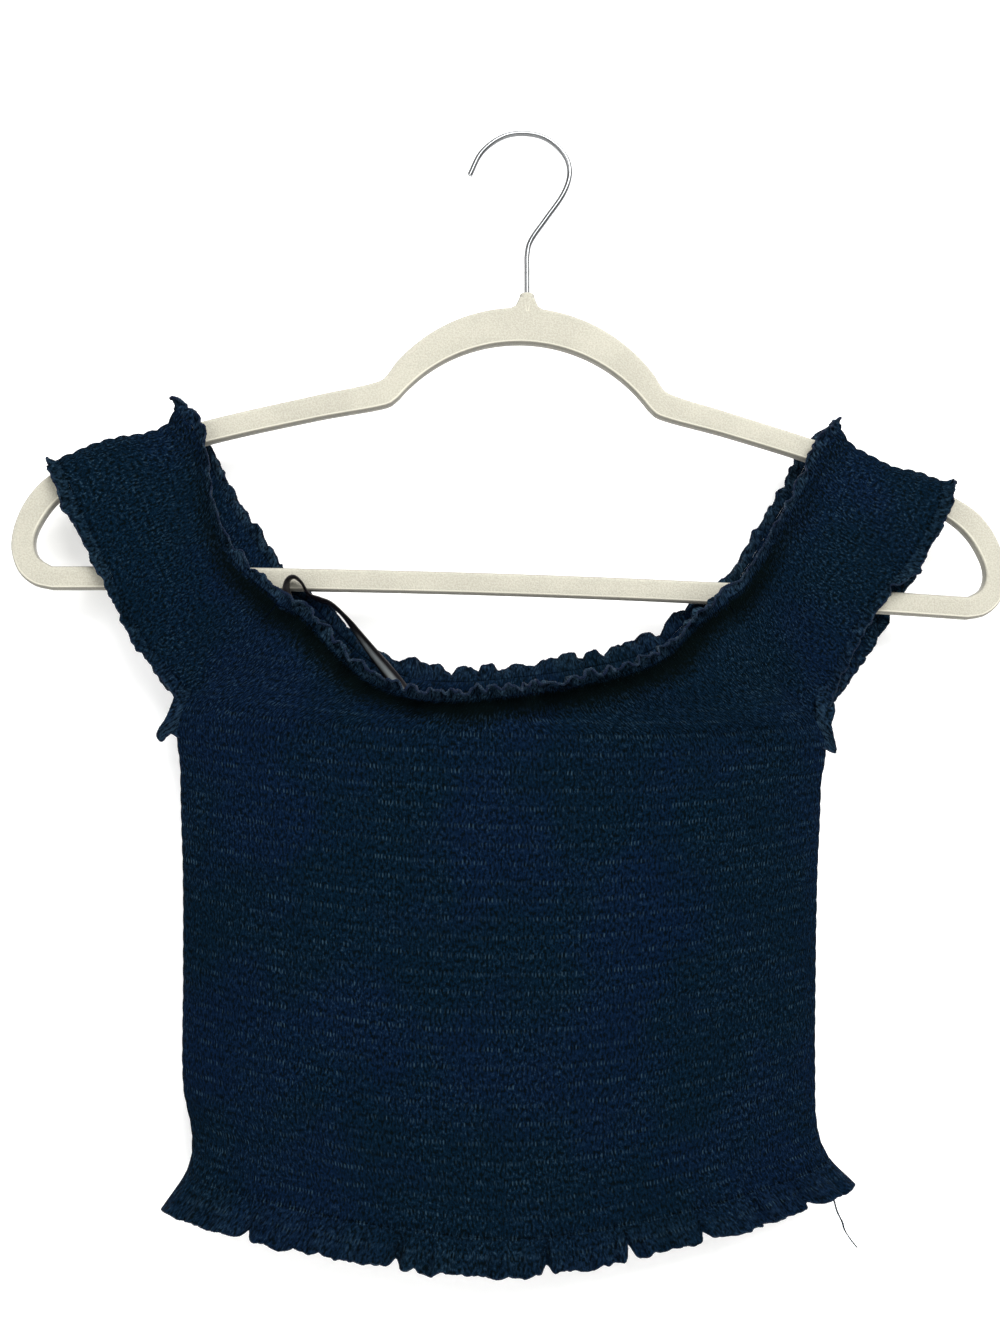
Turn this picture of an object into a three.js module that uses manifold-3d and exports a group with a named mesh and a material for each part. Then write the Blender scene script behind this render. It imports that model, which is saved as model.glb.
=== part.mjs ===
// An off-shoulder crop top, shirred all over, hung by its short sleeves on a flat flocked hanger.
// Millimetres, +Z up, the front faces -Y. The origin is the seat inside the hanger's wire hook, where a rail
// carries it. Left and right are the viewer's, as the top hangs.
import * as THREE from "three";
import { mergeVertices } from "three/addons/utils/BufferGeometryUtils.js";
import Module from "manifold-3d";

// The cloth wall, measured from the middle of the cloth along its normal.
const WALL = { inside: 0.7, groove: 0.5, puff: 1.6, ruffle: 0.6 };
const SEAM_GAP = 0.3;
// How much of a ruffle's wave there is halfway from its elastic row to its free edge.
const HALFWAY_REACH = 0.6;

// The elastic rows of the body, counted down from the neck. Past the first and last it is free ruffle.
const ROWS = { neckEdge: -1, first: 0, underarm: 2, last: 29, hemEdge: 30 };
const BODY_COLUMNS = 20;
const INSIDE_ROW_STEP = 4;
const NECK_FLUTES = { count: 17, depth: 1.3, columns: 68, scallop: 0.9 };
const HEM_FLUTES = { count: 22, depth: 2.6, columns: 88, scallop: 1.3 };

// A table's rows as objects with the named columns. A gap, null, is left to the table that it changes.
function table(columns, rows) {
  const cells = (row) => columns.map((name, i) => [name, row[i]]).filter(([, value]) => value !== null);
  return rows.map((row) => Object.fromEntries(cells(row)));
}

// Where each row ends, how low it hangs in the middle, how far the cloth stands off the hanger's plane in
// the middle (depth) and at the row's ends (edge), how much of the neckline's shape it keeps (neck) and how
// pointed its sag is (bow: 2 is a parabola).
const ROW_COLUMNS = ["row", "leftX", "leftZ", "rightX", "rightZ", "middle", "depth", "edge"];
const FRONT_SECTIONS = table([...ROW_COLUMNS, "neck", "bow"], [
  [-1, -107.8, -213.5, 88.1, -210.0, -254.8, 13.0, 8.6, 1.0, 2.0],
  [0, -110.5, -218.5, 90.5, -216.0, -260.5, 9.6, 7.6, 1.0, 2.0],
  [1, -130.0, -242.5, 108.5, -247.0, -268.5, 11.0, 4.4, 0.8, 2.0],
  [2, -150.6, -262.5, 132.6, -271.0, -276.5, 11.8, 0.7, 0.55, 2.0],
  [6, -151.6, -292.3, 133.2, -299.5, -308.3, 12.6, 0.38, 0.0, 2.0],
  [12, -149.8, -337.1, 130.8, -342.2, -356.0, 12.8, 0.38, 0.0, 1.9],
  [18, -149.0, -381.9, 129.4, -385.0, -403.7, 13.0, 0.38, 0.0, 1.8],
  [24, -148.3, -426.6, 128.5, -428.0, -451.4, 13.4, 0.38, 0.0, 1.7],
  [27, -144.2, -448.6, 129.2, -449.6, -475.2, 13.8, 0.38, 0.0, 1.6],
  [29, -146.5, -463.8, 134.6, -463.6, -490.5, 14.4, 0.38, 0.0, 1.55],
  [30, -157.0, -478.8, 146.0, -474.5, -505.2, 17.0, 0.45, 0.0, 1.45],
]);

// The back is cut a little higher at the neck, hangs flatter and is sewn to the same side seams.
const BACK_CHANGES = table(ROW_COLUMNS, [
  [-1, -106.2, -205.5, 89.0, -206.0, -245.6, 9.0, 7.6],
  [0, -108.8, -210.5, 91.0, -211.5, -251.6, 7.2, 7.0],
  [1, -129.5, -239.5, 109.0, -244.5, -262.0, 8.0, 4.2],
  [2, null, null, null, null, -271.5, 8.6, null],
  [6, null, null, null, null, -306.0, 9.2, null],
  [12, null, null, null, null, null, 9.6, null],
  [18, null, null, null, null, null, 9.8, null],
  [24, null, null, null, null, null, 10.0, null],
  [27, null, null, null, null, null, 10.2, null],
  [29, null, null, null, null, null, 10.6, null],
  [30, null, null, null, null, -503.0, 13.0, null],
]);
const BACK_SECTIONS = FRONT_SECTIONS.map((section, i) => ({ ...section, ...BACK_CHANGES[i] }));

// The neckline's own shape: the share of its full drop at each place across, from -1 on the left to 1.
const NECK_SHAPE = table(["across", "drop"], [
  [-1.0, 0.0],
  [-0.88, 0.16],
  [-0.75, 0.5],
  [-0.59, 0.82],
  [-0.35, 1.0],
  [0.0, 0.97],
  [0.45, 0.8],
  [0.7, 0.6],
  [0.85, 0.27],
  [1.0, 0.0],
]);

// A body panel's columns crowd a little towards its sides, a ruffle's waves fade in over heldShare of its
// half width, puffs differ in height by up to uneven, and swellPower rounds it off towards its sides.
const PANEL = { crowding: 0.3, heldShare: 0.04, innermost: 0.999, uneven: 0.35, swellPower: 4 };

// The sleeves. Each is a band folded over the hanger's arm: foldRadius is the fold's, foldShare the share of
// a layer that goes into it, belly how far a layer hangs off the arm's plane, and edgeShare the ruffle at
// either edge. heldShare is where the ruffle fades in beside the seam.
const SLEEVE = {
  rows: 10,
  foldRadius: 6.4,
  foldShare: 0.14,
  belly: 1.4,
  edgeShare: 0.07,
  heldShare: 0.1,
  spreadFrom: 0.25,
  uneven: 0.3,
  insideStep: 3,
};
const SLEEVE_FLUTES = { count: 15, columns: 60, depth: 1.2 };
const SLEEVE_STATIONS = [0.03, 0.06, 0.1, 0.14, 0.22, 0.34, 0.48, 0.64, 0.82];

// fold: places along a sleeve's fold from the neck edge to the cuff, and how far the cloth stands above the
// arm there. Neck and cuff: the free edges from the fold down to the armhole, for the front and back layer.
const FOLD_COLUMNS = ["x", "lift"];
const EDGE_COLUMNS = ["x", "z"];
const LEFT_SLEEVE = {
  fold: table(FOLD_COLUMNS, [
    [-155.0, 11.5],
    [-160.5, 2.0],
    [-168.0, 0.5],
    [-176.5, 1.6],
    [-184.0, 3.0],
    [-192.0, 3.4],
    [-201.0, 2.8],
    [-211.0, 4.6],
  ]),
  frontNeck: table(EDGE_COLUMNS, [[-145.0, -137.5], [-141.6, -150.0], [-137.5, -176.0], [-127.5, -196.0]]),
  backNeck: table(EDGE_COLUMNS, [[-147.0, -137.0], [-139.5, -151.5], [-129.5, -170.5], [-114.0, -192.5]]),
  frontCuff: table(EDGE_COLUMNS, [[-203.5, -173.5], [-188.6, -203.0], [-172.0, -236.0], [-159.0, -252.5]]),
  backCuff: table(EDGE_COLUMNS, [[-205.5, -176.0], [-188.0, -204.5], [-172.0, -236.5], [-160.0, -254.0]]),
};
const RIGHT_SLEEVE = {
  fold: table(FOLD_COLUMNS, [
    [142.5, 11.0],
    [150.5, 2.4],
    [159.0, 1.0],
    [169.0, 0.0],
    [177.0, 1.4],
    [185.0, 2.8],
    [191.5, 3.4],
    [196.0, 4.2],
  ]),
  frontNeck: table(EDGE_COLUMNS, [[132.0, -143.0], [123.5, -160.5], [109.5, -184.5], [96.5, -204.5]]),
  backNeck: table(EDGE_COLUMNS, [[130.5, -142.0], [121.5, -159.0], [107.5, -182.0], [97.0, -199.0]]),
  frontCuff: table(EDGE_COLUMNS, [[193.0, -173.0], [177.0, -200.5], [158.0, -220.5], [144.0, -248.5]]),
  backCuff: table(EDGE_COLUMNS, [[193.6, -180.0], [180.0, -205.0], [167.0, -226.5], [152.5, -246.5]]),
};

// The hanging loop, a satin ribbon from inside the front corner of the neck, over the back edge and in.
// turn is how far its width is turned from lying front to back towards lying across the view.
const RIBBON = { width: 6, thickness: 0.8, steps: 34, probe: 0.004 };
const RIBBON_ROUTE = table(["x", "y", "z", "turn"], [
  [-103.6, -5.9, -227.0, 82],
  [-105.6, -5.2, -218.0, 76],
  [-106.6, -5.7, -211.4, 56],
  [-105.6, -6.8, -207.8, 34],
  [-103.0, -7.3, -206.6, 24],
  [-99.8, -6.8, -209.0, 24],
  [-96.6, -5.4, -214.0, 30],
  [-92.4, -3.6, -216.0, 26],
  [-87.0, -2.2, -218.0, 24],
  [-80.9, -1.0, -223.4, 34],
  [-75.1, 0.2, -230.6, 50],
  [-68.8, 1.4, -238.8, 66],
  [-64.6, 2.4, -243.9, 71],
  [-60.5, 3.4, -248.8, 74],
  [-57.2, 4.4, -252.9, 76],
  [-54.0, 5.3, -257.0, 78],
]);

// The hanger, drawn square and then tipped about its neck as it hangs.
const HANGER = {
  thickness: 6,
  bevel: 0.8,
  tip: THREE.MathUtils.degToRad(1.4),
  neckX: 0.7,
  neckTop: -74.5,
  archTop: -81.3,
  archRadius: 75.5,
  archInnerTop: -98.2,
  archInnerRadius: 72,
};
const BOSS = { radius: 3.4, footZ: -83, boreRadius: 1.4, boreDepth: 9, sides: 16, boreSides: 12 };
// The plate's edge where it flares out from the boss into the arch.
const OUTLINE_COLUMNS = ["x", "z"];
const NECK_FLARE = table(OUTLINE_COLUMNS, [
  [0.0, -76.8],
  [3.0, -77.2],
  [4.0, -79.4],
  [6.6, -81.3],
]);
// The arm's upper and lower edge from the arch to the shoulder, then round the end loop to the bar.
const ARM_TOP = table(OUTLINE_COLUMNS, [
  [61.0, -112.9],
  [66.2, -118.3],
  [93.5, -125.8],
  [140.0, -138.8],
  [175.0, -151.0],
  [200.0, -161.4],
]);
const END_OUTSIDE = table(OUTLINE_COLUMNS, [
  [212.5, -169.5],
  [221.0, -182.0],
  [224.6, -197.0],
  [221.5, -209.0],
  [214.5, -215.6],
  [206.0, -217.6],
]);
const ARM_BOTTOM = table(OUTLINE_COLUMNS, [
  [56.5, -125.6],
  [62.5, -130.0],
  [93.4, -137.2],
  [140.0, -149.8],
  [175.0, -162.2],
  [196.0, -171.6],
]);
const END_INSIDE = table(OUTLINE_COLUMNS, [
  [206.0, -179.5],
  [212.6, -190.0],
  [214.4, -197.5],
  [212.4, -203.6],
  [206.5, -207.2],
]);
const BAR = { topMiddle: -203.6, bottomMiddle: -213.6 };
// How many points the arch, the arm with its end loop, and half the bar have on the outline.
const OUTLINE_POINTS = { archOut: 9, archIn: 8, flareInArch: 2, armOut: 26, armIn: 24, bar: 4 };

// The hook: a wire bent to a crook, its shank down to the boss.
const WIRE = { radius: 1.1, steps: 44, sides: 8 };
const HOOK_ROUTE = table(OUTLINE_COLUMNS, [
  [-25.6, -19.4],
  [-20.8, -9.4],
  [-14.4, -3.2],
  [-7.6, 0.2],
  [0.0, 1.1],
  [7.8, -0.2],
  [14.6, -4.4],
  [19.4, -10.8],
  [20.4, -18.4],
  [17.2, -27.6],
  [9.2, -39.4],
  [2.4, -49.6],
  [0.8, -56.0],
  [0.7, -64.0],
]);

const COLOUR = { cloth: 0x0c1f31, ribbon: 0x17161a, flock: 0xe9e4d3, chrome: 0xc9ccd0 };

// The step over which a surface's slope is taken, as a share of its length.
const PROBE = 1e-3;
const mix = (a, b, share) => a + (b - a) * share;
const limited = (value, low, high) => Math.min(high, Math.max(low, value));
const ease = (share) => {
  const s = limited(share, 0, 1);
  return s * s * (3 - 2 * s);
};

// A smooth value of one column of a table, between the rows on either side.
function lookUp(table, key, column, at) {
  let i = 0;
  while (i < table.length - 2 && table[i + 1][key] <= at) i++;
  const slope = (k) => {
    const a = table[Math.max(0, k - 1)];
    const b = table[Math.min(table.length - 1, k + 1)];
    return (b[column] - a[column]) / (b[key] - a[key]);
  };
  const span = table[i + 1][key] - table[i][key];
  const s = Math.min(1, Math.max(0, (at - table[i][key]) / span));
  const start = table[i][column];
  const end = table[i + 1][column];
  const bend = s * (1 - s) * span * (slope(i) * (1 - s) - slope(i + 1) * s);
  return mix(start, end, s * s * (3 - 2 * s)) + bend;
}

// Uneven waves: the flutes' spacing wanders by drift, and a slower beat makes some deep, others shallow.
const UNEVEN_FLUTES = { drift: 1.6, driftWaves: 2.3, beat: 0.28, beatShare: 0.37 };
function fluteWave(across, flutes, phase) {
  const { drift, driftWaves, beat, beatShare } = UNEVEN_FLUTES;
  const turn = 2 * Math.PI * across;
  const main = Math.sin(turn * flutes + drift * Math.sin(turn * driftWaves + phase) + phase);
  return main * (1 - beat + beat * Math.sin(turn * flutes * beatShare + 2 * phase));
}

// Faces between two runs of points that may differ in number, matched by their place along the run.
function stitch(faces, upper, lower, key) {
  let i = 0;
  let j = 0;
  while (i < upper.length - 1 || j < lower.length - 1) {
    const nextUpper = i < upper.length - 1 ? upper[i + 1][key] + upper[i][key] : Infinity;
    const nextLower = j < lower.length - 1 ? lower[j + 1][key] + lower[j][key] : Infinity;
    if (nextUpper < nextLower) {
      faces.push(upper[i].index, lower[j].index, upper[i + 1].index);
      i++;
    } else {
      faces.push(upper[i].index, lower[j].index, lower[j + 1].index);
      j++;
    }
  }
}

// A closed wall from the rows of its outer and its inner face, each from the top edge to the bottom edge.
// Every point holds its place, and how far along (u) and down (v) it is.
function wall(outerRows, innerRows) {
  const positions = [];
  for (const row of [...outerRows, ...innerRows]) {
    for (const point of row) {
      point.index = positions.length / 3;
      positions.push(point.at.x, point.at.y, point.at.z);
    }
  }
  const faces = [];
  for (let r = 0; r < outerRows.length - 1; r++) stitch(faces, outerRows[r], outerRows[r + 1], "u");
  for (let r = 0; r < innerRows.length - 1; r++) stitch(faces, innerRows[r + 1], innerRows[r], "u");
  stitch(faces, innerRows[0], outerRows[0], "u");
  stitch(faces, outerRows.at(-1), innerRows.at(-1), "u");
  const side = (rows, end) => rows.map((row) => row.at(end));
  stitch(faces, side(outerRows, 0), side(innerRows, 0), "v");
  stitch(faces, side(innerRows, -1), side(outerRows, -1), "v");
  const geometry = new THREE.BufferGeometry();
  geometry.setAttribute("position", new THREE.Float32BufferAttribute(positions, 3));
  geometry.setIndex(faces);
  if (signedVolume(positions, faces) < 0) geometry.setIndex(faces.reverse());
  return geometry;
}

function signedVolume(positions, faces) {
  const corner = (k) => new THREE.Vector3().fromArray(positions, 3 * faces[k]);
  let volume = 0;
  for (let k = 0; k < faces.length; k += 3) {
    volume += corner(k).dot(corner(k + 1).cross(corner(k + 2))) / 6;
  }
  return volume;
}

// The normal of a surface that is a function of two numbers, on the side of the viewer it belongs to.
function normalOf(surface, u, v, step, outward) {
  const alongU = surface(u + step, v).sub(surface(u - step, v));
  const alongV = surface(u, v + step).sub(surface(u, v - step));
  const normal = alongU.cross(alongV).normalize();
  return normal.multiplyScalar(normal.dot(outward(u, v)) < 0 ? -1 : 1);
}

function moved(at, direction, distance) {
  return at.clone().addScaledVector(direction, distance);
}

// The middle surface of a body panel: across runs from -1 to 1, row counts the elastic rows.
function panelSurface(sections, facing) {
  return (across, row) => {
    const value = (column) => lookUp(sections, "row", column, row);
    const place = Math.min(1, Math.max(-1, across));
    const share = (place + 1) / 2;
    const x = mix(value("leftX"), value("rightX"), share);
    const chord = mix(value("leftZ"), value("rightZ"), share);
    const sag = value("middle") - (value("leftZ") + value("rightZ")) / 2;
    const arc = 1 - Math.abs(place) ** value("bow");
    const shape = mix(arc, lookUp(NECK_SHAPE, "across", "drop", place), value("neck"));
    const swell = Math.sqrt(Math.max(0, 1 - place ** PANEL.swellPower));
    const depth = mix(value("edge"), value("depth"), swell);
    return new THREE.Vector3(x, facing * depth, chord + sag * shape);
  };
}

// Places across a panel, a little closer together at its sides.
function placesAcross(columns) {
  return Array.from({ length: columns + 1 }, (_, i) => {
    const even = (2 * i) / columns - 1;
    return mix(even, Math.sin((even * Math.PI) / 2), PANEL.crowding);
  });
}

function buildPanel(sections, facing, phase) {
  const surface = panelSurface(sections, facing);
  const outward = () => new THREE.Vector3(0, facing, 0);
  const normal = (u, v) => {
    const across = limited(u, -PANEL.innermost, PANEL.innermost);
    const row = limited(v, ROWS.neckEdge + 2 * PROBE, ROWS.hemEdge - 2 * PROBE);
    return normalOf(surface, across, row, PROBE, outward);
  };
  const run = (row, places, offsetAt, dropAt = () => 0) =>
    places.map((u) => {
      const at = moved(surface(u, row), normal(u, row), offsetAt(u));
      at.z += dropAt(u);
      return { at, u, v: row };
    });
  const plainPlaces = placesAcross(BODY_COLUMNS);

  // A ruffle's two faces at a share of the way from its elastic row to its free edge.
  const ruffleRuns = (row, reach, flutes) => {
    const places = placesAcross(flutes.columns);
    const held = (u) => reach * Math.min(1, (1 - Math.abs(u)) / PANEL.heldShare);
    const wave = (u) => held(u) * flutes.depth * fluteWave(u / 2, flutes.count, phase);
    const drop = (u) => held(u) * flutes.scallop * fluteWave(u / 2, flutes.count / 2, 1 + phase);
    return {
      outer: run(row, places, (u) => wave(u) + WALL.ruffle, drop),
      inner: run(row, places, (u) => wave(u) - WALL.ruffle, drop),
    };
  };
  const neckEdge = ruffleRuns(ROWS.neckEdge, 1, NECK_FLUTES);
  const neckMiddle = ruffleRuns((ROWS.neckEdge + ROWS.first) / 2, HALFWAY_REACH, NECK_FLUTES);
  const hemMiddle = ruffleRuns((ROWS.last + ROWS.hemEdge) / 2, HALFWAY_REACH, HEM_FLUTES);
  const hemEdge = ruffleRuns(ROWS.hemEdge, 1, HEM_FLUTES);

  const outerRows = [neckEdge.outer, neckMiddle.outer];
  for (let row = ROWS.first; row <= ROWS.last; row++) {
    outerRows.push(run(row, plainPlaces, () => WALL.groove));
    if (row === ROWS.last) break;
    const uneven = (u) => WALL.puff + PANEL.uneven * Math.sin(3 * Math.PI * u + 2 * row + phase);
    outerRows.push(run(row + 0.5, plainPlaces, uneven));
  }
  outerRows.push(hemMiddle.outer, hemEdge.outer);

  const innerRows = [neckEdge.inner, neckMiddle.inner];
  const innerPlaces = [ROWS.first, (ROWS.first + ROWS.underarm) / 2, ROWS.underarm];
  const firstWhole = ROWS.underarm + INSIDE_ROW_STEP;
  for (let row = firstWhole; row < ROWS.last; row += INSIDE_ROW_STEP) innerPlaces.push(row);
  innerPlaces.push(ROWS.last);
  for (const row of innerPlaces) innerRows.push(run(row, plainPlaces, () => -WALL.inside));
  innerRows.push(hemMiddle.inner, hemEdge.inner);
  return { geometry: wall(outerRows, innerRows), outerRows, innerRows };
}

// The armhole edge of a panel, from the neck to the underarm: the points of its outer and inner face, moved
// off the panel, up and outwards, by the gap of a seam, and by more at the underarm, over the side's puffs.
const UNDERARM_GAPS = 3;
function armhole(panel, end) {
  const side = end === 0 ? -1 : 1;
  const sewnOff = ({ at, v }) => {
    const down = (v - ROWS.neckEdge) / (ROWS.underarm - ROWS.neckEdge);
    const gap = SEAM_GAP * mix(1, UNDERARM_GAPS, down ** 4);
    return at.clone().add(new THREE.Vector3(side, 0, 1).setLength(gap));
  };
  const edge = (rows) => rows.filter((row) => row[0].v <= ROWS.underarm).map((row) => sewnOff(row.at(end)));
  return { outer: edge(panel.outerRows), inner: edge(panel.innerRows) };
}

// The point of a run of points at a share of its length.
function alongRun(points, share) {
  const lengths = points.slice(1).map((p, i) => p.distanceTo(points[i]));
  let left = share * lengths.reduce((sum, length) => sum + length, 0);
  let i = 0;
  while (i < lengths.length - 1 && left > lengths[i]) left -= lengths[i++];
  return points[i].clone().lerp(points[i + 1], Math.min(1, left / lengths[i]));
}

function curveOf(points) {
  const curve = new THREE.CatmullRomCurve3(points, false, "centripetal");
  return (share) => curve.getPointAt(Math.min(1, Math.max(0, share)));
}

// A sleeve: a band from the front armhole over the hanger's arm to the back armhole. place runs from -1 at
// the front armhole over 0 at the fold to 1 at the back, and t from the neck edge to the cuff.
function buildSleeve(shape, frontSeam, backSeam, phase) {
  const clear = SEAM_GAP + WALL.inside;
  const onArm = ({ x, lift }) => new THREE.Vector3(x, 0, armTopAt(x) + clear + lift);
  const fold = curveOf(shape.fold.map(onArm));
  const layers = [frontSeam, backSeam].map((seam, k) => {
    const seamMiddle = (t) => alongRun(seam.outer, t).lerp(alongRun(seam.inner, t), 0.5);
    const edge = (places, t) => {
      const points = places.map(({ x, z }) => new THREE.Vector3(x, 0, z));
      return curveOf([fold(t), ...points, seamMiddle(t).setY(0)]);
    };
    const neck = edge(k === 0 ? shape.frontNeck : shape.backNeck, 0);
    const cuff = edge(k === 0 ? shape.frontCuff : shape.backCuff, 1);
    return { seam, seamMiddle, neck, cuff };
  });
  const surface = (place, t) => {
    const layer = layers[place < 0 ? 0 : 1];
    const facing = place < 0 ? -1 : 1;
    const away = Math.min(1, Math.abs(place));
    const top = fold(t);
    const foot = layer.seamMiddle(t);
    const standOff = Math.abs(foot.y);
    const length = top.distanceTo(foot);
    const turn = Math.min(1, away / SLEEVE.foldShare) * (Math.PI / 2);
    const roundShare = SLEEVE.foldRadius / length;
    const below = Math.max(0, (away - SLEEVE.foldShare) / (1 - SLEEVE.foldShare));
    const s = roundShare * (1 - Math.cos(turn)) + (1 - roundShare) * below;
    const across = top.clone().lerp(foot, s).setY(0);
    const down = layer.neck(s).multiplyScalar(1 - t).addScaledVector(layer.cuff(s), t);
    const corners = fold(0).lerp(layer.seamMiddle(0), s).multiplyScalar(1 - t);
    corners.addScaledVector(fold(1).lerp(layer.seamMiddle(1), s), t);
    const at = across.add(down).sub(corners.setY(0));
    const round = SLEEVE.foldRadius * Math.sin(turn);
    const hang = round + SLEEVE.belly * Math.sin(Math.PI * below);
    const spread = (below - SLEEVE.spreadFrom) / (1 - SLEEVE.spreadFrom);
    at.y = facing * mix(hang, standOff, ease(spread));
    return at;
  };
  const outward = (place) => {
    const turn = (Math.min(1, Math.abs(place) / SLEEVE.foldShare) * Math.PI) / 2;
    return new THREE.Vector3(0, Math.sign(place) * Math.sin(turn), Math.cos(turn));
  };
  const within = (value, low) => limited(value, low + 4 * PROBE, 1 - 4 * PROBE);
  const normal = (place, t) => normalOf(surface, within(place, -1), within(t, 0), 2 * PROBE, outward);
  const seamPoint = (place, t, outside) => {
    const layer = layers[place < 0 ? 0 : 1];
    return alongRun(outside ? layer.seam.outer : layer.seam.inner, t);
  };
  const run = (t, places, offsetAt, outside) =>
    places.map((place) => {
      const free = () => moved(surface(place, t), normal(place, t), offsetAt(place));
      const at = Math.abs(place) === 1 ? seamPoint(place, t, outside) : free();
      return { at, u: place, v: t };
    });
  const half = SLEEVE_STATIONS;
  const plainPlaces = [-1, ...half.map((s) => -s).reverse(), 0, ...half, 1];
  const { count, columns, depth } = SLEEVE_FLUTES;
  const finePlaces = Array.from({ length: columns + 1 }, (_, i) => (2 * i) / columns - 1);
  const ruffleRuns = (t, reach) => {
    const held = (place) => reach * Math.min(1, (1 - Math.abs(place)) / SLEEVE.heldShare);
    const wave = (place) => held(place) * depth * fluteWave(place / 2, count, phase);
    return {
      outer: run(t, finePlaces, (place) => wave(place) + WALL.ruffle, true),
      inner: run(t, finePlaces, (place) => wave(place) - WALL.ruffle, false),
    };
  };
  const neckEdge = ruffleRuns(0, 1);
  const neckMiddle = ruffleRuns(SLEEVE.edgeShare / 2, HALFWAY_REACH);
  const cuffMiddle = ruffleRuns(1 - SLEEVE.edgeShare / 2, HALFWAY_REACH);
  const cuffEdge = ruffleRuns(1, 1);
  const rowAt = (row) => mix(SLEEVE.edgeShare, 1 - SLEEVE.edgeShare, row / (SLEEVE.rows - 1));
  const outerRows = [neckEdge.outer, neckMiddle.outer];
  const innerRows = [neckEdge.inner, neckMiddle.inner];
  for (let row = 0; row < SLEEVE.rows; row++) {
    outerRows.push(run(rowAt(row), plainPlaces, () => WALL.groove, true));
    const inside = () => -WALL.inside;
    if (row % SLEEVE.insideStep === 0) innerRows.push(run(rowAt(row), plainPlaces, inside, false));
    if (row === SLEEVE.rows - 1) break;
    const uneven = (place) => WALL.puff + SLEEVE.uneven * Math.sin(3 * Math.PI * place + 2 * row + phase);
    outerRows.push(run(rowAt(row + 0.5), plainPlaces, uneven, true));
  }
  outerRows.push(cuffMiddle.outer, cuffEdge.outer);
  innerRows.push(cuffMiddle.inner, cuffEdge.inner);
  return wall(outerRows, innerRows);
}

function buildRibbon() {
  const centre = curveOf(RIBBON_ROUTE.map(({ x, y, z }) => new THREE.Vector3(x, y, z)));
  const places = RIBBON_ROUTE.map(({ turn }, i) => ({ stop: i / (RIBBON_ROUTE.length - 1), turn }));
  const faces = { outer: [], inner: [] };
  for (let i = 0; i <= RIBBON.steps; i++) {
    const share = i / RIBBON.steps;
    const along = centre(share + RIBBON.probe).sub(centre(share - RIBBON.probe)).normalize();
    const turn = THREE.MathUtils.degToRad(lookUp(places, "stop", "turn", share));
    const flat = new THREE.Vector3(0, 1, 0).cross(along).normalize();
    const width = new THREE.Vector3(0, Math.cos(turn), 0).addScaledVector(flat, Math.sin(turn));
    width.addScaledVector(along, -width.dot(along)).normalize();
    const lift = width.clone().cross(along).normalize();
    for (const [name, sign] of [["outer", 1], ["inner", -1]]) {
      const middle = moved(centre(share), lift, (sign * RIBBON.thickness) / 2);
      const place = (u) => moved(middle, width, (u * RIBBON.width) / 2);
      faces[name].push([-1, 0, 1].map((u) => ({ at: place(u), u, v: share })));
    }
  }
  return wall(faces.outer, faces.inner);
}

// A point of the square-drawn hanger, tipped about the foot of its hook.
function tipped(x, z) {
  const pivot = new THREE.Vector2(HANGER.neckX, HANGER.neckTop);
  return new THREE.Vector2(x + HANGER.neckX, z).rotateAround(pivot, -HANGER.tip);
}

// The height of the arm's upper edge, where a sleeve rests on it.
function armTopAt(x) {
  const side = Math.sign(x);
  const edge = [...ARM_TOP, ...END_OUTSIDE.slice(0, 2)].map((p) => tipped(side * p.x, p.z));
  const i = Math.max(0, edge.findIndex((p, k) => k > 0 && side * p.x >= side * x) - 1);
  return mix(edge[i].y, edge[i + 1].y, (x - edge[i].x) / (edge[i + 1].x - edge[i].x));
}

// A half arc from the middle to where the next part of the edge begins.
function archHalf(top, radius, endX, steps) {
  return Array.from({ length: steps }, (_, i) => {
    const x = (endX * i) / steps;
    return { x, z: top - radius + Math.sqrt(radius * radius - x * x) };
  });
}

function mirroredLoop(half) {
  const right = half.map((p) => tipped(p.x, p.z));
  const left = half.filter((p) => p.x > 0.01).map((p) => tipped(-p.x, p.z));
  return [...right, ...left.reverse()];
}

function smoothed(places, steps) {
  const curve = new THREE.SplineCurve(places.map((p) => new THREE.Vector2(p.x, p.z)));
  return curve.getPoints(steps).map((p) => ({ x: p.x, z: p.y }));
}

function barHalf(middle, end, steps) {
  return Array.from({ length: steps }, (_, i) => {
    const share = 1 - (i + 1) / steps;
    return { x: end.x * share, z: mix(middle, end.z, share * share) };
  });
}

function hangerOutline() {
  const count = OUTLINE_POINTS;
  const outside = [
    ...NECK_FLARE,
    ...archHalf(HANGER.archTop, HANGER.archRadius, ARM_TOP[0].x, count.archOut).slice(count.flareInArch),
    ...smoothed([...ARM_TOP, ...END_OUTSIDE], count.armOut),
    ...barHalf(BAR.bottomMiddle, END_OUTSIDE.at(-1), count.bar),
  ];
  const inside = [
    ...archHalf(HANGER.archInnerTop, HANGER.archInnerRadius, ARM_BOTTOM[0].x, count.archIn),
    ...smoothed([...ARM_BOTTOM, ...END_INSIDE], count.armIn),
    ...barHalf(BAR.topMiddle, END_INSIDE.at(-1), count.bar),
  ];
  const shape = new THREE.Shape(mirroredLoop(outside).reverse());
  shape.holes.push(new THREE.Path(mirroredLoop(inside)));
  return shape;
}

const wasm = await Module();
wasm.setup();

function toSolid(geometry) {
  const bare = geometry.index ? geometry.toNonIndexed() : geometry.clone();
  bare.deleteAttribute("normal");
  bare.deleteAttribute("uv");
  const merged = mergeVertices(bare, 1e-3);
  return new wasm.Manifold(
    new wasm.Mesh({
      numProp: 3,
      vertProperties: merged.attributes.position.array,
      triVerts: new Uint32Array(merged.index.array),
    }),
  );
}

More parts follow.
